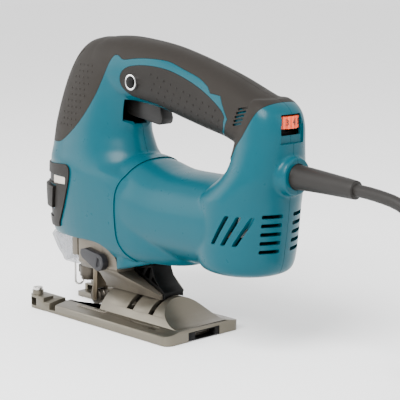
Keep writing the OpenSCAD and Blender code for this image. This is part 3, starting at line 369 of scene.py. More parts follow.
def round_bar(start: Point3, end: Point3, r0: float, r1: Optional[float] = None, n: int = 48,
              name: str = "bar") -> bpy.types.Object:
    """A round bar or cone between two points."""
    a, b = Vector(start) * MM, Vector(end) * MM
    bpy.ops.object.select_all(action="DESELECT")
    bpy.ops.mesh.primitive_cone_add(
        vertices=n, radius1=r0 * MM, radius2=(r0 if r1 is None else r1) * MM, depth=(b - a).length)
    obj = bpy.context.object
    obj.name = name
    turn = (b - a).to_track_quat("Z", "Y").to_matrix().to_4x4()
    obj.data.transform(Matrix.Translation((a + b) / 2) @ turn)
    return obj


def spline(points: Sequence[Sequence[float]], n: int) -> list[tuple[float, ...]]:
    """A smooth curve through the points, with n steps between each two.

    Args:
        points: the points, of any dimension.
        n: steps between two points.

    Returns:
        The points of the curve.
    """
    p = np.array(points, float)
    m = len(p) - 1
    out = []
    for i in range(m):
        p0, p1, p2, p3 = p[max(i - 1, 0)], p[i], p[i + 1], p[min(i + 2, m)]
        for k in range(n):
            t = k / n
            out.append(tuple(0.5 * (2 * p1 + (p2 - p0) * t + (2 * p0 - 5 * p1 + 4 * p2 - p3) * t * t
                                    + (3 * p1 - p0 - 3 * p2 + p3) * t ** 3)))
    out.append(tuple(p[m]))
    return out


def grown(outline: Sequence[Point2], d: float) -> list[Point2]:
    """The outline moved outwards by d, corner by corner."""
    area = sum(p[0] * q[1] - q[0] * p[1] for p, q in zip(outline, [*outline[1:], outline[0]]))
    side = 1 if area > 0 else -1
    n = len(outline)
    out = []
    for i in range(n):
        a, b, c = (np.array(outline[j % n], float) for j in (i - 1, i, i + 1))
        u, v = (b - a) / (np.linalg.norm(b - a) + 1e-9), (c - b) / (np.linalg.norm(c - b) + 1e-9)
        nu, nv = np.array([u[1], -u[0]]), np.array([v[1], -v[0]])
        m = nu + nv
        m /= max(float(m @ m) / 2, 0.35)
        out.append(tuple(b + side * d * m))
    return out


def lofted(rings: Sequence[Sequence[Sequence[float]]], name: str) -> bpy.types.Object:
    """A closed solid through rings of equally many points, in metres."""
    n, m = len(rings[0]), len(rings)
    verts = [v for ring in rings for v in ring]
    faces = [[j * n + i, j * n + (i + 1) % n, (j + 1) * n + (i + 1) % n, (j + 1) * n + i]
             for j in range(m - 1) for i in range(n)]
    faces += [list(range(n - 1, -1, -1)), list(range((m - 1) * n, m * n))]
    obj = made(name, verts, faces)
    outward(obj)
    return obj


def outward(obj: bpy.types.Object) -> None:
    """Turns the faces of a closed solid outwards."""
    work = bmesh.new()
    work.from_mesh(obj.data)
    bmesh.ops.recalc_face_normals(work, faces=work.faces)
    if work.calc_volume(signed=True) < 0:
        bmesh.ops.reverse_faces(work, faces=work.faces)
    work.to_mesh(obj.data)
    work.free()


def tube(path: Sequence[Sequence[float]], radius: Callable[[float], float], n: int, name: str) -> bpy.types.Object:
    """A round tube along a path, in millimetres.

    Args:
        path: the middle line.
        radius: the radius at a share of the path, from 0 to 1.
        n: sides.
        name: the object's name.

    Returns:
        The closed tube.
    """
    p = np.array(path, float)
    rings = []
    side = np.array([0.02, 1.0, 0.3])
    for i in range(len(p)):
        t = p[min(i + 1, len(p) - 1)] - p[max(i - 1, 0)]
        t /= np.linalg.norm(t)
        side = side - t * float(side @ t)
        side /= np.linalg.norm(side)
        up = np.cross(t, side)
        r = radius(i / (len(p) - 1))
        rings.append([(p[i] + r * (side * math.cos(a) + up * math.sin(a))) * MM
                      for a in (2 * math.pi * j / n for j in range(n))])
    return lofted(rings, name)


def smooth_by_angle(obj: bpy.types.Object, degrees: float = 35) -> None:
    """Smooth shading, sharp over the given angle."""
    alone(obj)
    bpy.ops.object.shade_smooth_by_angle(angle=math.radians(degrees))


def dress(obj: bpy.types.Object, finish: Finish) -> bpy.types.Object:
    """Gives the whole object one finish."""
    obj.data.materials.clear()
    obj.data.materials.append(finish.material())
    return obj


def seat(obj: bpy.types.Object, body: str, finish: Finish, *stands_for: str) -> bpy.types.Object:
    """Dresses a piece, makes it ride on a body and lets it stand for CAD nodes.

    Args:
        obj: the piece.
        body: the body that carries it.
        finish: its finish.
        *stands_for: the CAD nodes that it replaces.

    Returns:
        The piece.
    """
    dress(obj, finish)
    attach(obj, body)
    if stands_for:
        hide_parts(*stands_for)
    LOG.info("%s rides on %s, %d faces", obj.name, body, len(getattr(obj.data, "polygons", [])))
    return obj


def joined(pieces: Sequence[bpy.types.Object], name: str) -> bpy.types.Object:
    """Several objects as one mesh, which takes the first one's place."""
    alone(pieces[0])
    for p in pieces[1:]:
        p.select_set(True)
    bpy.context.view_layer.objects.active = pieces[0]
    bpy.ops.object.join()
    pieces[0].name = name
    return pieces[0]


def eased(node: str, name: str, width: float = 0.4, segments: int = 2, angle: float = 35) -> bpy.types.Object:
    """A copy of a CAD node with its edges rounded over.

    Args:
        node: the CAD node.
        name: the copy's name.
        width: the width of the rounding.
        segments: its steps.
        angle: edges sharper than this are rounded.

    Returns:
        The copy.
    """
    obj = copy_of(frame["nodes"][node], name)
    alone(obj)
    bpy.ops.object.mode_set(mode="EDIT")
    bpy.ops.mesh.select_all(action="SELECT")
    bpy.ops.mesh.remove_doubles(threshold=2e-6)
    bpy.ops.mesh.dissolve_limited(angle_limit=math.radians(0.8))
    bpy.ops.object.mode_set(mode="OBJECT")
    apply_modifier(obj, "BEVEL", width=width * MM, segments=segments, limit_method="ANGLE",
                   angle_limit=math.radians(angle), use_clamp_overlap=True, miter_outer="MITER_ARC")
    smooth_by_angle(obj, 40)
    return obj


# ---- Outer form ----


@dataclass
class OuterForm:
    """The moulded outer form: head, barrel, grip bar and rear cover, blended into one."""

    nose_x: float = 29
    tail_x: float = 206
    crest_z: float = 207.5
    motor_z: float = 87
    barrel_half: float = 33
    grip_half: float = 20
    exit_z: float = 125
    voxel: float = 0.9
    sides: int = 72
    steps: int = 4
    skin: dict[float, bpy.types.Object] = field(default_factory=dict)

    @property
    def floor_z(self) -> float:
        """Height of the barrel's lower side."""
        return self.motor_z - self.barrel_half

    @property
    def roof_z(self) -> float:
        """Height of the barrel's upper side."""
        return self.motor_z + self.barrel_half

    def head(self) -> list[Station]:
        """Height, front, rear, half width and squareness up the nose and the front head."""
        f, m, c, n, b = self.floor_z, self.motor_z, self.crest_z, self.nose_x, self.barrel_half
        return [(f - 3, 9 - n, 120, b - 7, 2.5), (f + 8, 1.5 - n, 130, b - 2, 2.6), (m, -n, 130, b, 2.65),
                (m + 20, 0.3 - n, 110, b - 0.3, 2.5), (m + 29, 0.8 - n, 78, b - 1.6, 2.3),
                (m + 36, 1.4 - n, 69, b - 3.2, 2.15), (m + 43, 2.2 - n, 65.5, b - 4.6, 2.1),
                (c - 65, 4 - n, 62.5, b - 7, 2.1), (c - 44, 11 - n, 66, b - 10.5, 2.2),
                (c - 27, 19 - n, 76, b - 12, 2.2), (c - 13, 29 - n, 82, b - 15, 2.2),
                (c - 5, 40 - n, 78, b - 20, 2.1), (c - 1.5, 54 - n, 66, b - 26, 2)]

    def barrel(self) -> list[Station]:
        """Place, bottom, top, half width and squareness along the motor barrel."""
        f, r, b = self.floor_z, self.roof_z, self.barrel_half
        return [(48, f + 1, r + 1, b - 1, 2.3), (66, f, r + 5, b - 0.5, 2.3), (82, f, r + 3, b, 2.3),
                (104, f, r - 1.2, b, 2.2), (135, f, r - 1.6, b, 2.2), (155, f + 0.8, r - 1, b, 2.2),
                (172, f + 1.5, r + 2, b - 0.6, 2.2)]

    def grip(self) -> list[Station]:
        """Place, bottom, top, half width and squareness along the grip bar."""
        c, g = self.crest_z, self.grip_half
        return [(16, c - 34, c - 6, g - 6, 2.2), (30, c - 46, c - 1.6, g - 0.5, 2.3), (48, c - 48, c, g + 0.5, 2.35),
                (66, c - 46.5, c - 0.8, g, 2.4), (92, c - 49, c - 3.8, g - 0.8, 2.4),
                (115, c - 54.5, c - 8.4, g - 1.5, 2.3), (138, c - 59.5, c - 14.6, g - 1.2, 2.3),
                (158, c - 63.5, c - 21, g, 2.3), (178, c - 71, c - 28.6, g + 1, 2.3),
                (192, c - 76, c - 33.5, g + 0.5, 2.2), (200, c - 74, c - 38, g - 3, 2.1)]

    def tail(self) -> list[Station]:
        """Height, front, rear, half width and squareness up the rear cover and pillar."""
        f, m, r, c, t, b = self.floor_z, self.motor_z, self.roof_z, self.crest_z, self.tail_x, self.barrel_half
        return [(f + 1.2, 150, t - 22, b - 17, 2.1), (f + 3.2, 140, t - 12, b - 7, 2.1),
                (f + 8, 133, t - 7, b - 2, 2.05), (m - 12, 130, t - 4, b, 2), (m + 16, 132, t - 0.6, b, 2),
                (m + 25, 143, t, b - 1.2, 2.05), (r + 1, 156, t + 1, b - 3.4, 2.1),
                (c - 77, 162, t + 1.8, b - 6.5, 2.2), (c - 64, 166, t + 2.5, b - 9.5, 2.3),
                (c - 52, 168, t + 3, b - 11, 2.3), (c - 43, 171, t + 1.2, b - 12.5, 2.2),
                (c - 37, 175, t - 4, b - 15, 2.1), (c - 33.5, 181, t - 11, b - 19, 2)]

    def _ring(self, s: Sequence[float], upright: bool) -> list[Point3]:
        """One ring of the form, level for a column and upright for a beam."""
        at, lo, hi, half, power = s
        mid, reach = (lo + hi) / 2, (hi - lo) / 2
        ring = []
        for j in range(self.sides):
            a = 2 * math.pi * j / self.sides
            u = math.copysign(abs(math.cos(a)) ** (2 / power), math.cos(a))
            v = math.copysign(abs(math.sin(a)) ** (2 / power), math.sin(a))
            if upright:
                ring.append((at * MM, half * u * MM, (mid + reach * v) * MM))
            else:
                ring.append(((mid + reach * u) * MM, half * v * MM, at * MM))
        return ring

    def build(self) -> bpy.types.Object:
        """The outer form as one closed solid, with soft blends where its parts meet.

        Returns:
            The solid.
        """
        parts = []
        for label, stations, upright in (("head", self.head(), False), ("barrel", self.barrel(), True),
                                         ("grip", self.grip(), True), ("tail", self.tail(), False)):
            rings = [self._ring(s, upright) for s in spline(stations, self.steps)]
            parts.append(lofted(rings, label))
        # Boss round the cord's sleeve.
        parts.append(round_bar((self.tail_x - 12, 0, self.exit_z), (self.tail_x + 6.5, 0, self.exit_z), 15.8, 12.4))
        form = joined(parts, "form")
        apply_modifier(form, "REMESH", mode="VOXEL", voxel_size=self.voxel * MM, adaptivity=0)
        apply_modifier(form, "SMOOTH", factor=0.5, iterations=14)
        self.skin[0.0] = form
        LOG.info("outer form has %d faces", len(form.data.polygons))
        return form

    def at(self, out: float) -> bpy.types.Object:
        """A fresh copy of the form, moved outwards by a distance."""
        twin = copy_of(self.skin[0.0], f"form_{out:+.1f}")
        if out:
            apply_modifier(twin, "DISPLACE", direction="NORMAL", strength=out * MM, mid_level=0)
        return twin

    def core(self, inset: float) -> bpy.types.Object:
        """The room inside a wall of the given thickness, with fewer faces."""
        twin = self.at(-inset)
        apply_modifier(twin, "DECIMATE", ratio=0.12)
        return twin

    def discard(self) -> None:
        """Removes the form once the pieces are cut from it."""
        for obj in self.skin.values():
            bpy.data.objects.remove(obj)
        self.skin.clear()


@dataclass
class Outlines:
    """Side outlines of what covers or divides the outer form, as [x, z] points."""

    form: OuterForm

    def barrel_zone(self) -> list[Point2]:
        """The motor barrel, between its front and rear parting lines."""
        f, m, r = self.form.floor_z, self.form.motor_z, self.form.roof_z
        front = spline([(72, r + 24), (70, r + 15), (75, r + 8.5), (84, r + 8), (79, r + 2), (73, m + 24),
                        (68.4, m + 13), (67.4, m), (68, m - 18), (71, m - 26), (76, f + 1), (84, f - 3)], 5)
        rear = spline([(158, f - 4), (151, f + 5), (146.5, m - 17), (145, m - 4), (146.2, m + 13),
                       (150, m + 23), (158, r - 2), (172, r + 7), (174, r + 14)], 5)
        return [*front, *rear, (110, r + 20)]

    def top_grip(self) -> list[Point2]:
        """The soft cover over the nose and the crest of the grip."""
        n, c = self.form.nose_x, self.form.crest_z
        front = spline([(-9, 128.2), (2, 130), (13.7, 137.8), (25, 150), (37, 168), (46.4, 184.4),
                        (53, c - 13.5), (58, c - 12.5), (64, c - 15), (76, c - 13.6), (90, c - 13),
                        (106, c - 14), (122, c - 18.5), (137, c - 23), (147, c - 28)], 5)
        scallop = [(150.5, c - 32), (156, c - 32.5), (160, c - 33), (168.5, c - 47.5)]
        under = spline([(163, c - 56), (158, c - 62), (157, c - 72)], 5)
        rear = spline([(174, c - 72), (178, c - 64), (184, c - 57), (190, c - 47), (196, c - 38), (206, c - 30)], 5)
        return [(-n - 20, 127.5), *front, *scallop, *under, *rear, (206, c + 20), (-n - 20, c + 20)]

    def side_pad(self) -> list[Point2]:
        """The soft panel on the grip's side."""
        c = self.form.crest_z
        upper = spline([(105, c - 62), (103, c - 50), (99, c - 46.6), (91, c - 44.5), (80, c - 42.6),
                        (69, c - 40.5), (62, c - 35), (60.5, c - 29), (63, c - 23.5), (69, c - 20),
                        (79, c - 18.3), (92, c - 18), (107, c - 19.6), (122, c - 23.4), (137, c - 28.6),
                        (151, c - 35), (162, c - 42), (165.5, c - 46.5)], 5)
        return [*upper, *spline([(162.4, c - 54), (157.3, c - 61), (156.2, c - 74)], 5)]

    def nose_pad(self) -> list[Point2]:
        """The rubber surround on the nose."""
        return spline([(-60, 112), (-20, 111.5), (8, 113.6), (15, 113), (17.5, 108), (15, 97),
                       (9, 83), (1, 69.5), (-6, 64.5), (-60, 64)], 5)

    def nose_edge(self) -> list[Point2]:
        """What is cut from under the nose, arched over the gear housing."""
        arch = spline([(-10, 59.6), (20, 60.4), (38, 61), (49, 59.8), (57.3, 55.6), (61.4, 48.5), (62.3, 41.5)], 5)
        return [(-60, 20), (-60, 57.5), (-24, 58.5), *arch, (62.3, 20)]

    def nose_strip(self) -> list[Point2]:
        """The reach of the shell's narrow strip down the nose's front."""
        return [(-60, 100), (-60, 210), (3, 204), (12, 196), (20, 150), (20, 100)]

    def recess(self) -> list[Point2]:
        """The room for the finger round the trigger."""
        return spline([(64, 140), (60, 146), (53, 149.4), (48.6, 153), (48, 158), (51, 162), (57, 163.6),
                       (66, 163), (78, 161.6)], 5)

    def chin(self) -> list[Point2]:
        """The chin under the barrel's front."""
        f = self.form.floor_z
        return [(62, 42.5), (62, 72), (108, 72), (108, f + 1), (101, f - 1)]


# ---- Housing ----


@dataclass
class Housing:
    """The moulded halves, the motor barrel, the soft grips and what shows on them."""

    form: OuterForm
    wall: float = 3.4
    skin: float = 1.5
    barrel_step: float = 0.8
    groove: float = 0.22
    strip_half: float = 1.3
    trigger_half: float = 5.8
    recess_half: float = 14
    vent_x: float = 166.1
    vent_step: float = 7.9
    level_vent_step: float = 5.9
    dial_z: float = 155.7
    dial_centre: Point2 = (193.5, 1)
    dial_room_r: float = 14.2
    button: Point2 = (73.6, 177.3)
    button_r: float = 4.3
    stripe_y: float = 12.5
    dot_r: float = 0.85
    dot_h: float = 0.4

    def __post_init__(self) -> None:
        """Takes the outlines from the form."""
        self.lines = Outlines(self.form)

    def build(self) -> None:
        """Makes and seats every moulded piece of the housing."""
        self.form.build()
        core = self.form.core(self.wall)
        under_skin = self.form.at(-self.skin - 0.1)
        barrel_top = self.form.at(-self.barrel_step)
        left = self._half(core, under_skin, barrel_top)
        right = mirrored(left, "housing_half_right")
        self._button_hole(left)
        self._screw_holes(right)
        seat(left, "tool", Kit.TEAL, "handle_shell_left")
        seat(right, "tool", Kit.TEAL, "handle_shell_right")
        self._barrel(barrel_top)
        self._skins()
        self._nose_pad()
        for tool in (core, under_skin, barrel_top):
            bpy.data.objects.remove(tool)
        for obj in (left, right):
            smooth_by_angle(obj)

    def _soft_zone(self, d: float) -> bpy.types.Object:
        """The room that the soft covers take from the shells, grown by d."""
        zone = prism(grown(self.lines.top_grip(), d), -70, 70, "soft_zone")
        # The halves meet in a narrow strip of the shell down the nose's front.
        combine(zone, prism(self.lines.nose_strip(), -self.strip_half + d, self.strip_half - d))
        return combine(zone, prism(grown(self.lines.side_pad(), d), -70, 70), Op.JOIN)

    def _half(self, core: bpy.types.Object, under_skin: bpy.types.Object,
              barrel_top: bpy.types.Object) -> bpy.types.Object:
        """The left half of the housing."""
        half = self.form.at(0)
        half.name = "housing_half_left"
        left_only(half)
        combine(half, core, Op.CUT, keep=True)
        combine(half, prism(grown(self.lines.barrel_zone(), self.groove)))
        zone = self._soft_zone(self.groove)
        combine(zone, under_skin, Op.CUT, keep=True)
        combine(half, zone)
        combine(half, self._chin(barrel_top), Op.JOIN)
        combine(half, self._sleeve_collar(), Op.JOIN)
        combine(half, prism(self.lines.nose_edge()))
        self._openings(half)
        return half

    def _chin(self, barrel_top: bpy.types.Object) -> bpy.types.Object:
        """The left half of the chin, with a rounded underside."""
        plan = [(50, 27), (70, 27), (88, 22), (110, 9), (110, -9), (88, -22), (70, -27), (50, -27)]
        column = prism(plan, 30, 90, "chin_plan")
        column.data.transform(Matrix(((1, 0, 0, 0), (0, 0, 1, 0), (0, 1, 0, 0), (0, 0, 0, 1))))
        outward(column)
        chin = prism(self.lines.chin(), -40, 40, "chin")
        combine(chin, column, Op.KEEP)
        rounded(chin, 2.2)
        left_only(chin)
        room = copy_of(barrel_top, "room")
        combine(chin, room)
        inner = prism(grown(self.lines.chin(), -3), -18, 18)
        return combine(chin, inner)

    def _sleeve_collar(self) -> bpy.types.Object:
        """The left half of the wall that holds the cord's sleeve."""
        f = self.form
        collar = round_bar((f.tail_x - 12, 0, f.exit_z), (f.tail_x + 4, 0, f.exit_z), 12)
        return left_only(collar)

    def _openings(self, half: bpy.types.Object) -> None:
        """Cuts the openings that both halves have."""
        f, m = self.form, self.form.motor_z
        for i in range(3):
            x = self.vent_x + i * self.vent_step
            wide, lean = 3.2, 11.6
            slot = prism([(x, m - 8.2), (x + wide, m - 8.2), (x + wide + lean, m + 11.8), (x + lean, m + 11.8)],
                         -60, -22)
            combine(half, rounded(slot, 1.0))
        for i in range(5):
            z = m - 13 + i * self.level_vent_step
            combine(half, rounded(box((f.tail_x - 15, -18.5, z), (f.tail_x + 5, -5, z + 2.6)), 0.8))
        self._finger_room(half)
        self._dial_window(half)
        combine(half, round_bar((f.tail_x - 40, 0, f.exit_z), (f.tail_x + 20, 0, f.exit_z), 8.7))

    def _dial_window(self, half: bpy.types.Object) -> None:
        """Cuts the window of the speed dial, under an arched recess."""
        tail, z = self.form.tail_x, self.dial_z
        arch = round_bar((tail + 0.6, 0, z + 2.5), (tail + 12, 0, z + 2.5), 10.5)
        combine(arch, box((tail, -10.5, z - 9.5), (tail + 12, 10.5, z + 2.5)), Op.JOIN)
        combine(half, arch)
        combine(half, rounded(box((tail - 12, -9.2, z - 4.2), (tail + 12, 9.2, z + 9.4)), 1.2))
        combine(half, round_bar((*self.dial_centre, z - 0.6), (*self.dial_centre, z + 8.6), self.dial_room_r))

    def _finger_room(self, piece: bpy.types.Object) -> None:
        """Cuts the trigger's slot and the room for the finger before it."""
        c = self.form.crest_z
        combine(piece, box((47.5, -self.trigger_half, c - 62), (90.5, 10, c - 34)))
        combine(piece, prism(self.lines.recess(), -self.recess_half, self.recess_half))

    def _button_hole(self, piece: bpy.types.Object) -> None:
        """Cuts the lock button's hole in a piece on the left."""
        x, z = self.button
        combine(piece, round_bar((x, -40, z), (x, 0, z), self.button_r))

    def _screw_holes(self, half: bpy.types.Object) -> None:
        """Cuts the screws' wells in the right half."""
        n, c = self.form.nose_x, self.form.crest_z
        for x, z in ((9 - n, 118), (22, c - 17), (52, 139), (112, c - 29), (158, c - 42), (186, 67), (180, 109)):
            combine(half, round_bar((x, 7, z), (x, 60, z), 3.9, n=32))

    def _barrel(self, barrel_top: bpy.types.Object) -> None:
        """The motor barrel, a step below the halves' surface."""
        barrel = copy_of(barrel_top, "motor_barrel")
        combine(barrel, prism(self.lines.barrel_zone()), Op.KEEP)
        combine(barrel, self.form.core(2 * self.wall))
        seat(barrel, "tool", Kit.TEAL, "motor_housing")
        smooth_by_angle(barrel)

    def _skins(self) -> None:
        """The soft covers on the crest and on the grip's sides."""
        for label, outline, finish in (("top_grip", self.lines.top_grip(), Kit.SOFT),
                                       ("side_pad", self.lines.side_pad(), Kit.PAD)):
            skin = self.form.at(0)
            skin.name = f"{label}_left_cover"
            combine(skin, self.form.core(self.skin))
            combine(skin, prism(outline), Op.KEEP)
            left_only(skin)
            combine(skin, prism(grown(self.lines.barrel_zone(), 0.3)))
            if label == "top_grip":
                combine(skin, prism(self.lines.nose_strip(), -self.strip_half, self.strip_half))
            self._finger_room(skin)
            twin = mirrored(skin, f"{label}_right_cover")
            self._button_hole(skin)
            if label == "top_grip":
                self._ribbed_patch(skin, -1)
                self._ribbed_patch(twin, 1)
                self._stripe(skin)
                self._stripe(twin)
            self._dots(skin, label, -1)
            self._dots(twin, label, 1)
            seat(skin, "tool", finish, f"{label}_left")
            seat(twin, "tool", finish, f"{label}_right")
            smooth_by_angle(skin)
            smooth_by_angle(twin)

    def _stripe(self, skin: bpy.types.Object) -> None:
        """Cuts the narrow groove along the nose's corner, which shows the shell."""
        side = -1 if "left" in skin.name else 1
        lo, hi = sorted((side * (self.stripe_y - 0.75), side * (self.stripe_y + 0.75)))
        thick = self.form.at(0.6)
        combine(thick, prism([(-60, 131), (-60, 197), (14, 197), (14, 131)], lo, hi), Op.KEEP)
        combine(thick, self.form.at(-self.skin + 0.3))
        combine(skin, thick)

    def _ribbed_patch(self, skin: bpy.types.Object, side: int) -> None:
        """Cuts a small ribbed patch near the grip's rear."""
        lo, hi = sorted((side * 17.5, side * 40))
        for i in range(5):
            x, z = 177.6 - i * 0.9, 166.5 - i * 2.6
            combine(skin, prism([(x, z), (x + 8, z + 1.8), (x + 7.6, z + 3.2), (x - 0.4, z + 1.4)], lo, hi))

    def _dot_places(self, label: str) -> Iterable[Point2]:
        """Where the raised dots stand, seen from the side."""
        if label == "top_grip":
            for row in range(11):
                z = 142 + row * 4.4
                x0 = -3 + row * 1.75
                for col in range(4):
                    yield (x0 + col * 5.2 + (row % 2) * 2.6, z)
        else:
            for row in range(4):
                for col in range(11):
                    x = 92 + col * 6.4 + (row % 2) * 3.2
                    yield (x, 184 - row * 5.4 - (x - 92) * 0.3)

    def _dots(self, skin: bpy.types.Object, label: str, side: int) -> None:
        """Adds small raised dots where the fingers press on the soft cover."""
        outline = grown(self.lines.top_grip() if label == "top_grip" else self.lines.side_pad(), -2.5)
        verts: list[Vector] = []
        faces: list[list[int]] = []
        for x, z in self._dot_places(label):
            if not inside((x, z), outline):
                continue
            hit, spot, normal, _ = skin.ray_cast(Vector((x, side * 60, z)) * MM, Vector((0, -side, 0)))
            if not hit:
                continue
            self._dome(spot, normal, verts, faces)
        if verts:
            dots = made("dots", verts, faces)
            outward(dots)
            name = skin.name
            joined([skin, dots], name)

    def _dome(self, spot: Vector, normal: Vector, verts: list[Vector], faces: list[list[int]]) -> None:
        """Adds one closed dot, sunk a little in the surface, to the lists.

        Args:
            spot: where it stands.
            normal: the surface's direction there.
            verts: the points so far.
            faces: the faces so far.
        """
        steps, rings, sunk = 10, 3, 0.15
        across = normal.orthogonal().normalized()
        up = normal.cross(across)
        first = len(verts)
        for j in range(rings):
            a = 0.5 * math.pi * j / rings
            r, h = self.dot_r * math.cos(a), self.dot_h * math.sin(a) - (sunk if j == 0 else 0)
            for i in range(steps):
                b = 2 * math.pi * i / steps
                verts.append(spot + ((across * math.cos(b) + up * math.sin(b)) * r + normal * h) * MM)
        verts.append(spot + normal * self.dot_h * MM)
        top = first + rings * steps
        for i in range(steps):
            k = (i + 1) % steps
            for low in range(first, top - steps, steps):
                faces.append([low + i, low + k, low + steps + k, low + steps + i])
            faces.append([top - steps + i, top - steps + k, top])
        faces.append([first + i for i in reversed(range(steps))])

    def _nose_pad(self) -> None:
        """The rubber surround on the nose, its windows and the release lever."""
        inner = self.form.at(0.04)
        pad = self._on_nose("nose_surround", 1.3, prism(self.lines.nose_pad()), inner)
        upper = [(-60, 96.8), (11.5, 98.2), (12.6, 99.4), (12.8, 103.6), (11.6, 104.8), (-60, 104)]
        lower = [(-60, 70.5), (-9, 71.5), (-7, 77.6), (-60, 77.4)]
        lever_room = [(-60, 77.3), (-5.6, 77.3), (-1.4, 97), (-60, 97)]
        for outline in (upper, lower, lever_room):
            combine(pad, prism(outline, -60, 20))
        seat(pad, "tool", Kit.PAD, "nose_pad")
        smooth_by_angle(pad)
        light = [(-6.5, 97.6), (11.4, 98.8), (12.2, 103.2), (11, 104.2), (-6.5, 103.8)]
        insert = self._on_nose("nose_insert", 0.5, prism(grown(light, -0.15), -60, 0), inner)
        seat(insert, "tool", Kit.BEIGE)
        smooth_by_angle(insert)
        slots = prism(grown([(-60, 96.8), (-6.7, 97.2), (-6.7, 104.2), (-60, 104)], -0.15), -60, 16)
        combine(slots, prism(grown(lower, -0.15), -60, 16), Op.JOIN)
        dark = self._on_nose("nose_slot", 0.25, slots, inner)
        seat(dark, "tool", Kit.BLACK)
        smooth_by_angle(dark)
        self._release_lever(inner)
        bpy.data.objects.remove(inner)

    def _on_nose(self, name: str, out: float, zone: bpy.types.Object,
                 inner: bpy.types.Object) -> bpy.types.Object:
        """A layer on the nose's surface, kept inside a zone.

        Args:
            name: the layer's name.
            out: how far it stands out.
            zone: the room that it keeps to, which is used up.
            inner: the form under it, which stays.

        Returns:
            The layer.
        """
        layer = self.form.at(out)
        layer.name = name
        combine(layer, zone, Op.KEEP)
        return combine(layer, inner, Op.CUT, keep=True)

    def _release_lever(self, inner: bpy.types.Object) -> None:
        """The lever that frees the blade, with the knuckle of its hinge."""
        low, high = 79, 95.4
        hinge = (6 - self.form.nose_x, 22.5)
        lever = self._on_nose("release_paddle", 3.2,
                              prism([(-60, low), (-6.6, low), (-3.2, high), (-60, high)], -60, 22.2), inner)
        combine(lever, round_bar((*hinge, low), (*hinge, high), 3.1, n=32), Op.JOIN)
        combine(lever, box((-19.6, 14.5, 60), (20, 40, 120)))
        seat(lever, "release_lever", Kit.PAD, "blade_release_lever")
        smooth_by_angle(lever, 50)


def inside(spot: Point2, outline: Sequence[Point2]) -> bool:
    """Whether a point lies inside a closed outline."""
    x, z = spot
    odd = False
    for (x0, z0), (x1, z1) in zip(outline, [*outline[1:], outline[0]]):
        if (z0 > z) != (z1 > z) and x < (x1 - x0) * (z - z0) / (z1 - z0) + x0:
            odd = not odd
    return odd


# ---- Cord ----


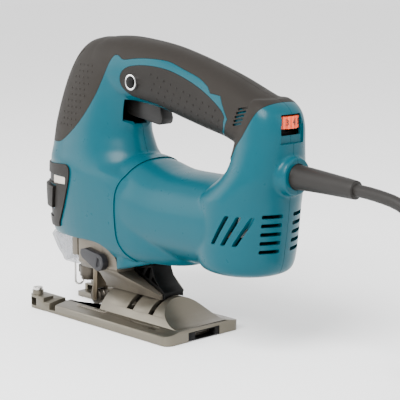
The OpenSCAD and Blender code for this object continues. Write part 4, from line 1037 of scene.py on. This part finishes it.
@dataclass
class MainsLead:
    """The cord: its sleeve, the lead down to the floor, the coil and the plug."""

    diameter: float = 8
    exit: Point3 = (262, 0, 122.6)
    centre: Point2 = (383, 17)
    outer_r: float = 50
    turns: float = 6.5
    leaves_at: float = 95
    plug_angle: float = 200
    body_length: float = 38.3
    housing_end: float = 206

    def lead(self) -> list[Point3]:
        """From the sleeve down onto the coil."""
        return [self.exit, (272, 0, 122), (284, 0, 120.6), (296, 0, 118), (307, -1, 112.6), (316, -3, 104.2),
                (323.5, -6, 93), (329.5, -9, 80), (335, -12, 66.5), (341, -15.2, 53.5), (348.8, -18.6, 42),
                (358.3, -21.6, 32.6), (368, -23.6, 26.6), (377.5, -24.6, 22.4)]

    def coil(self) -> list[Point3]:
        """The turns, from the top one to the one that leaves along the floor."""
        def share(t: float, start: float, end: float) -> float:
            s = min(max((t - start) / (end - start), 0.0), 1.0)
            return s * s * (3 - 2 * s)

        points = []
        d = self.diameter
        for i in range(int(24 * self.turns) + 1):
            t = self.turns - i / 24
            inward = share(t, 0.75, 1.0) + share(t, 1.75, 2.0) + share(t, 5.65, 5.9)
            outward_again = share(t, 3.2, 3.45) + share(t, 4.2, 4.45)
            r = self.outer_r - d * (inward - outward_again)
            z = d / 2 + d * (share(t, 2.5, 2.92) + share(t, 4.95, 5.37))
            a = math.radians(self.leaves_at - 360 * t)
            points.append((self.centre[0] + r * math.cos(a), self.centre[1] + r * math.sin(a), z))
        return points

    def tail(self) -> list[Point3]:
        """Off the coil and along the floor to the plug."""
        return [(368, 66, 4), (357, 64.5, 5), (347, 61.9, 8.4), (339, 59.2, 12.2), (333, 57, 14.1)]

    def build(self) -> None:
        """Makes the cord and its sleeve, tie and plug."""
        path = spline([*self.lead(), *self.coil(), *self.tail()], 2)
        cord = tube(path, lambda share: self.diameter / 2, 20, "mains_lead")
        tie = self._tie()
        plug = self._plug()
        seat(cord, "tool", Kit.RUBBER, "cord_lead", "cord_coil", "cord_tail")
        smooth_by_angle(cord, 50)
        self._sleeve()

    def _sleeve(self) -> None:
        """The tapered sleeve that keeps the cord from kinking at the housing."""
        t, exit_z = self.housing_end, 125
        stations = [(t - 9, 0, 8.3), (t + 5, 0, 8.3), (t + 8, 0.1, 8.1), (t + 22, 0.6, 7.5), (t + 38, 1.4, 6.8),
                    (t + 54, 2.3, 6.1), (t + 55.4, 2.37, 5.8), (t + 56, 2.4, 5.2)]
        rings = []
        for x, sag, r in spline(stations, 4):
            rings.append([(x * MM, r * math.cos(a) * MM, (exit_z - sag + r * math.sin(a)) * MM)
                          for a in (2 * math.pi * j / 64 for j in range(64))])
        sleeve = lofted(rings, "cord_sleeve_cover")
        seat(sleeve, "tool", Kit.RUBBER, "cord_sleeve")
        smooth_by_angle(sleeve, 50)

    def _tie(self) -> bpy.types.Object:
        """The strap that holds the turns together."""
        outside, top, thick = self.centre[0] - self.outer_r, 25.2, 1.1
        x0, x1 = outside - 5.2, outside + 21.2
        y = self.centre[1]
        tie = box((x0, y - 4, 0.1), (x1, y + 4, top))
        combine(tie, box((x0 + thick, y - 10, 1.0), (x1 - thick, y + 10, top - thick)))
        rounded(tie, 0.5, 2, 40)
        tie.name = "coil_tie"
        seat(tie, "tool", Kit.BLACK)
        smooth_by_angle(tie)
        return tie

    def _plug(self) -> bpy.types.Object:
        """The moulded plug, with its pins."""
        plug = eased("plug", "mains_plug", 1.2, 3, 30)
        seat(plug, "tool", Kit.RUBBER, "plug")
        plug.data.materials.append(Kit.STEEL.material())
        start = Vector(self.tail()[-1]) * MM
        a = math.radians(self.plug_angle)
        along = Vector((math.cos(a), math.sin(a), 0))
        for face in plug.data.polygons:
            if (face.center - start).dot(along) > self.body_length * MM:
                face.material_index = 1
        return plug


# ---- Metal, mechanism and controls ----


@dataclass
class Workings:
    """The castings, the base, the mechanism and the controls, eased from the model."""

    rounded: tuple[tuple[str, str, str, Finish, float], ...] = (
        ("gear_housing", "gear_casting", "tool", Kit.CAST, 0.6),
        ("shoe_bracket", "shoe_bracket_moulding", "tool", Kit.BLACK, 0.5),
        # The base plate's finish carries a painted highlight: the lit tone of the cast metal.
        ("base_plate", "base_casting", "base", Kit.PLATE_WITH_HIGHLIGHT, 0.35),
        ("roller_holder", "roller_fork", "roller_arm", Kit.ZINC, 0.4),
        ("guide_roller", "guide_wheel", "roller", Kit.DARK_STEEL, 0.3),
        ("blade_clamp", "blade_holder", "plunger", Kit.DARK_STEEL, 0.4),
        ("orbital_lever", "pendulum_lever", "orbit_lever", Kit.GREY, 0.7),
        ("trigger", "trigger_paddle", "trigger", Kit.TRIGGER, 0.9),
        ("lock_button", "lock_knob", "lock", Kit.BLACK, 0.6),
        ("key_clip", "key_holder", "base", Kit.BLACK, 0.4),
        ("hex_key", "stored_key", "key", Kit.DARK_STEEL, 0.25),
        ("speed_dial", "dial_wheel", "dial", Kit.ORANGE, 0.25),
        ("base_bolts", "base_screws", "tool", Kit.DARK_STEEL, 0.3),
        ("fence_screw", "fence_thumb_screw", "base", Kit.STEEL, 0.3),
        ("housing_screws", "housing_bolts", "tool", Kit.STEEL, 0.25),
        ("dust_cover", "clear_shield", "cover", Kit.CLEAR, 0.35),
    )
    kept: tuple[tuple[str, Finish], ...] = (
        ("base_clamp_plate", Kit.DARK_STEEL), ("plunger_bushes", Kit.COPPER), ("gear_pin", Kit.STEEL),
        ("holder_pin", Kit.STEEL), ("lever_pin", Kit.STEEL), ("front_bearing", Kit.STEEL),
        ("rear_bearing", Kit.STEEL), ("field_core", Kit.LAMINATE), ("field_coils", Kit.COPPER),
        ("brush_holders", Kit.COPPER), ("carbon_brushes", Kit.CARBON), ("switch_body", Kit.BLACK),
        ("speed_controller", Kit.BLACK), ("cord_clamp", Kit.BLACK), ("armature_shaft", Kit.STEEL),
        ("armature_core", Kit.LAMINATE), ("armature_windings", Kit.COPPER), ("commutator", Kit.COPPER),
        ("fan", Kit.BLACK), ("crank_gear", Kit.STEEL), ("crank_pin", Kit.STEEL), ("plunger_rod", Kit.STEEL),
        ("yoke", Kit.DARK_STEEL),
    )

    def build(self) -> None:
        """Makes the eased pieces and dresses the nodes that stay."""
        for node, name, body, finish, width in self.rounded:
            seat(eased(node, name, width), body, finish, node)
        for node, finish in self.kept:
            dress(frame["nodes"][node], finish)
        self._guard()
        self._button_ring()
        self._dial_figures()
        self._scale()

    def _guard(self) -> None:
        """The bent wire in front of the blade."""
        turn = [(-12.5, 4 * math.cos(math.radians(a)), 15 + 4 * (1 + math.sin(math.radians(a))))
                for a in range(180, 361, 30)]
        route = [(-12.5, -4, 69), (-12.5, -4, 44), (-12.5, -4, 30), *turn, (-10.5, 6, 20), (-6.5, 7, 20),
                 (4, 7, 20), (17, 7, 20), (20.6, 7, 21.4), (22, 7, 25), (22, 7, 40)]
        guard = tube(spline(route, 4), lambda share: 0.8, 14, "wire_guard_loop")
        seat(guard, "tool", Kit.STEEL, "wire_guard")
        smooth_by_angle(guard, 60)

    def _button_ring(self) -> None:
        """The bright rim round the lock button's hole."""
        lo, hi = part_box("lock_button")
        x, z = (lo.x + hi.x) / 2 / MM, (lo.z + hi.z) / 2 / MM
        y = lo.y / MM
        ring = round_bar((x, y + 1.1, z), (x, y + 3.4, z), 5.5)
        combine(ring, round_bar((x, y - 5, z), (x, y + 9, z), 4.35))
        rounded(ring, 0.45, 3, 40)
        ring.name = "button_rim"
        seat(ring, "tool", Kit.CHROME)
        smooth_by_angle(ring)

    def _dial_figures(self) -> None:
        """Generic figures round the speed dial."""
        lo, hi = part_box("speed_dial")
        centre = (lo + hi) / 2
        reach = (hi.x - lo.x) / 2
        figures = []
        for i, mark in enumerate("123456"):
            bpy.ops.object.select_all(action="DESELECT")
            bpy.ops.object.text_add()
            text = bpy.context.object
            text.data.body = mark
            text.data.size = 5.6 * MM
            text.data.align_x = "CENTER"
            text.data.align_y = "CENTER"
            text.data.extrude = 0.12 * MM
            bpy.ops.object.convert(target="MESH")
            a = math.radians((i - 3) * 24 + 4)
            turn = Matrix.Rotation(a, 4, "Z") @ Matrix.Translation((reach, 0, 0)) \
                @ Matrix.Rotation(math.radians(90), 4, "Z") @ Matrix.Rotation(math.radians(90), 4, "X")
            text.data.transform(Matrix.Translation(centre) @ turn)
            figures.append(text)
        seat(joined(figures, "dial_marks"), "dial", Kit.INK)

    def _scale(self) -> None:
        """Graduation marks beside the hump, proud of the base."""
        start, step, edge = 18, 2.5, -27.6
        marks = []
        for i in range(13):
            x = start + i * step
            long = 4.2 if i % 6 == 0 else 3.2 if i % 3 == 0 else 2.2
            marks.append(box((x, edge, 8.35), (x + 0.45, edge + long, 8.86)))
        seat(joined(marks, "tilt_scale"), "base", Kit.BEIGE)


# ---- Studio ----


@dataclass
class Studio:
    """The camera, the pale floor and the soft light."""

    camera_at: Point3 = (831.0, -675.0, 277.4)
    looks_at: Point3 = (121.33, 0, 97.88)
    lens: float = 129.75
    light_size: float = 0.8

    def camera(self) -> None:
        """Makes the camera."""
        data = bpy.data.cameras.new("camera")
        data.lens = self.lens
        data.sensor_width = 36
        data.clip_start = 0.05
        camera = bpy.data.objects.new("camera", data)
        bpy.context.scene.collection.objects.link(camera)
        at, to = Vector(self.camera_at) * MM, Vector(self.looks_at) * MM
        camera.location = at
        camera.rotation_euler = (to - at).to_track_quat("-Z", "Y").to_euler()
        bpy.context.scene.camera = camera

    def floor(self) -> None:
        """Makes the pale floor."""
        bpy.ops.object.select_all(action="DESELECT")
        bpy.ops.mesh.primitive_plane_add(size=8, location=(0, 0, -0.0002))
        floor = bpy.context.object
        floor.name = "floor"
        mat = bpy.data.materials.new("pale_floor")
        mat.use_nodes = True
        shader = mat.node_tree.nodes["Principled BSDF"]
        shader.inputs["Base Color"].default_value = (0.97, 0.97, 0.97, 1)
        shader.inputs["Roughness"].default_value = 0.8
        floor.data.materials.append(mat)

    def lights(self) -> None:
        """Makes the soft lights and the pale surroundings."""
        world = bpy.data.worlds.new("surroundings")
        world.use_nodes = True
        world.node_tree.nodes["Background"].inputs["Color"].default_value = (1, 1, 1, 1)
        world.node_tree.nodes["Background"].inputs["Strength"].default_value = 1.6
        bpy.context.scene.world = world
        for name, at, power in (("key", (0.35, -1.0, 1.15), 46.0), ("rear_fill", (1.2, 0.2, 0.7), 5.0),
                                ("front_fill", (-0.9, -0.7, 0.5), 8.0)):
            data = bpy.data.lights.new(name, "AREA")
            data.size = self.light_size
            data.energy = power
            light = bpy.data.objects.new(name, data)
            light.location = at
            light.rotation_euler = (Vector((0.1, 0, 0.09)) - Vector(at)).to_track_quat("-Z", "Y").to_euler()
            bpy.context.scene.collection.objects.link(light)


def main() -> None:
    """Builds the tool's looks in order."""
    logging.basicConfig(level=logging.INFO, format="%(message)s")
    studio = Studio()
    studio.camera()
    MainsLead().build()
    form = OuterForm()
    Housing(form).build()
    form.discard()
    Workings().build()
    studio.floor()
    studio.lights()


if __name__ == "__main__":
    main()
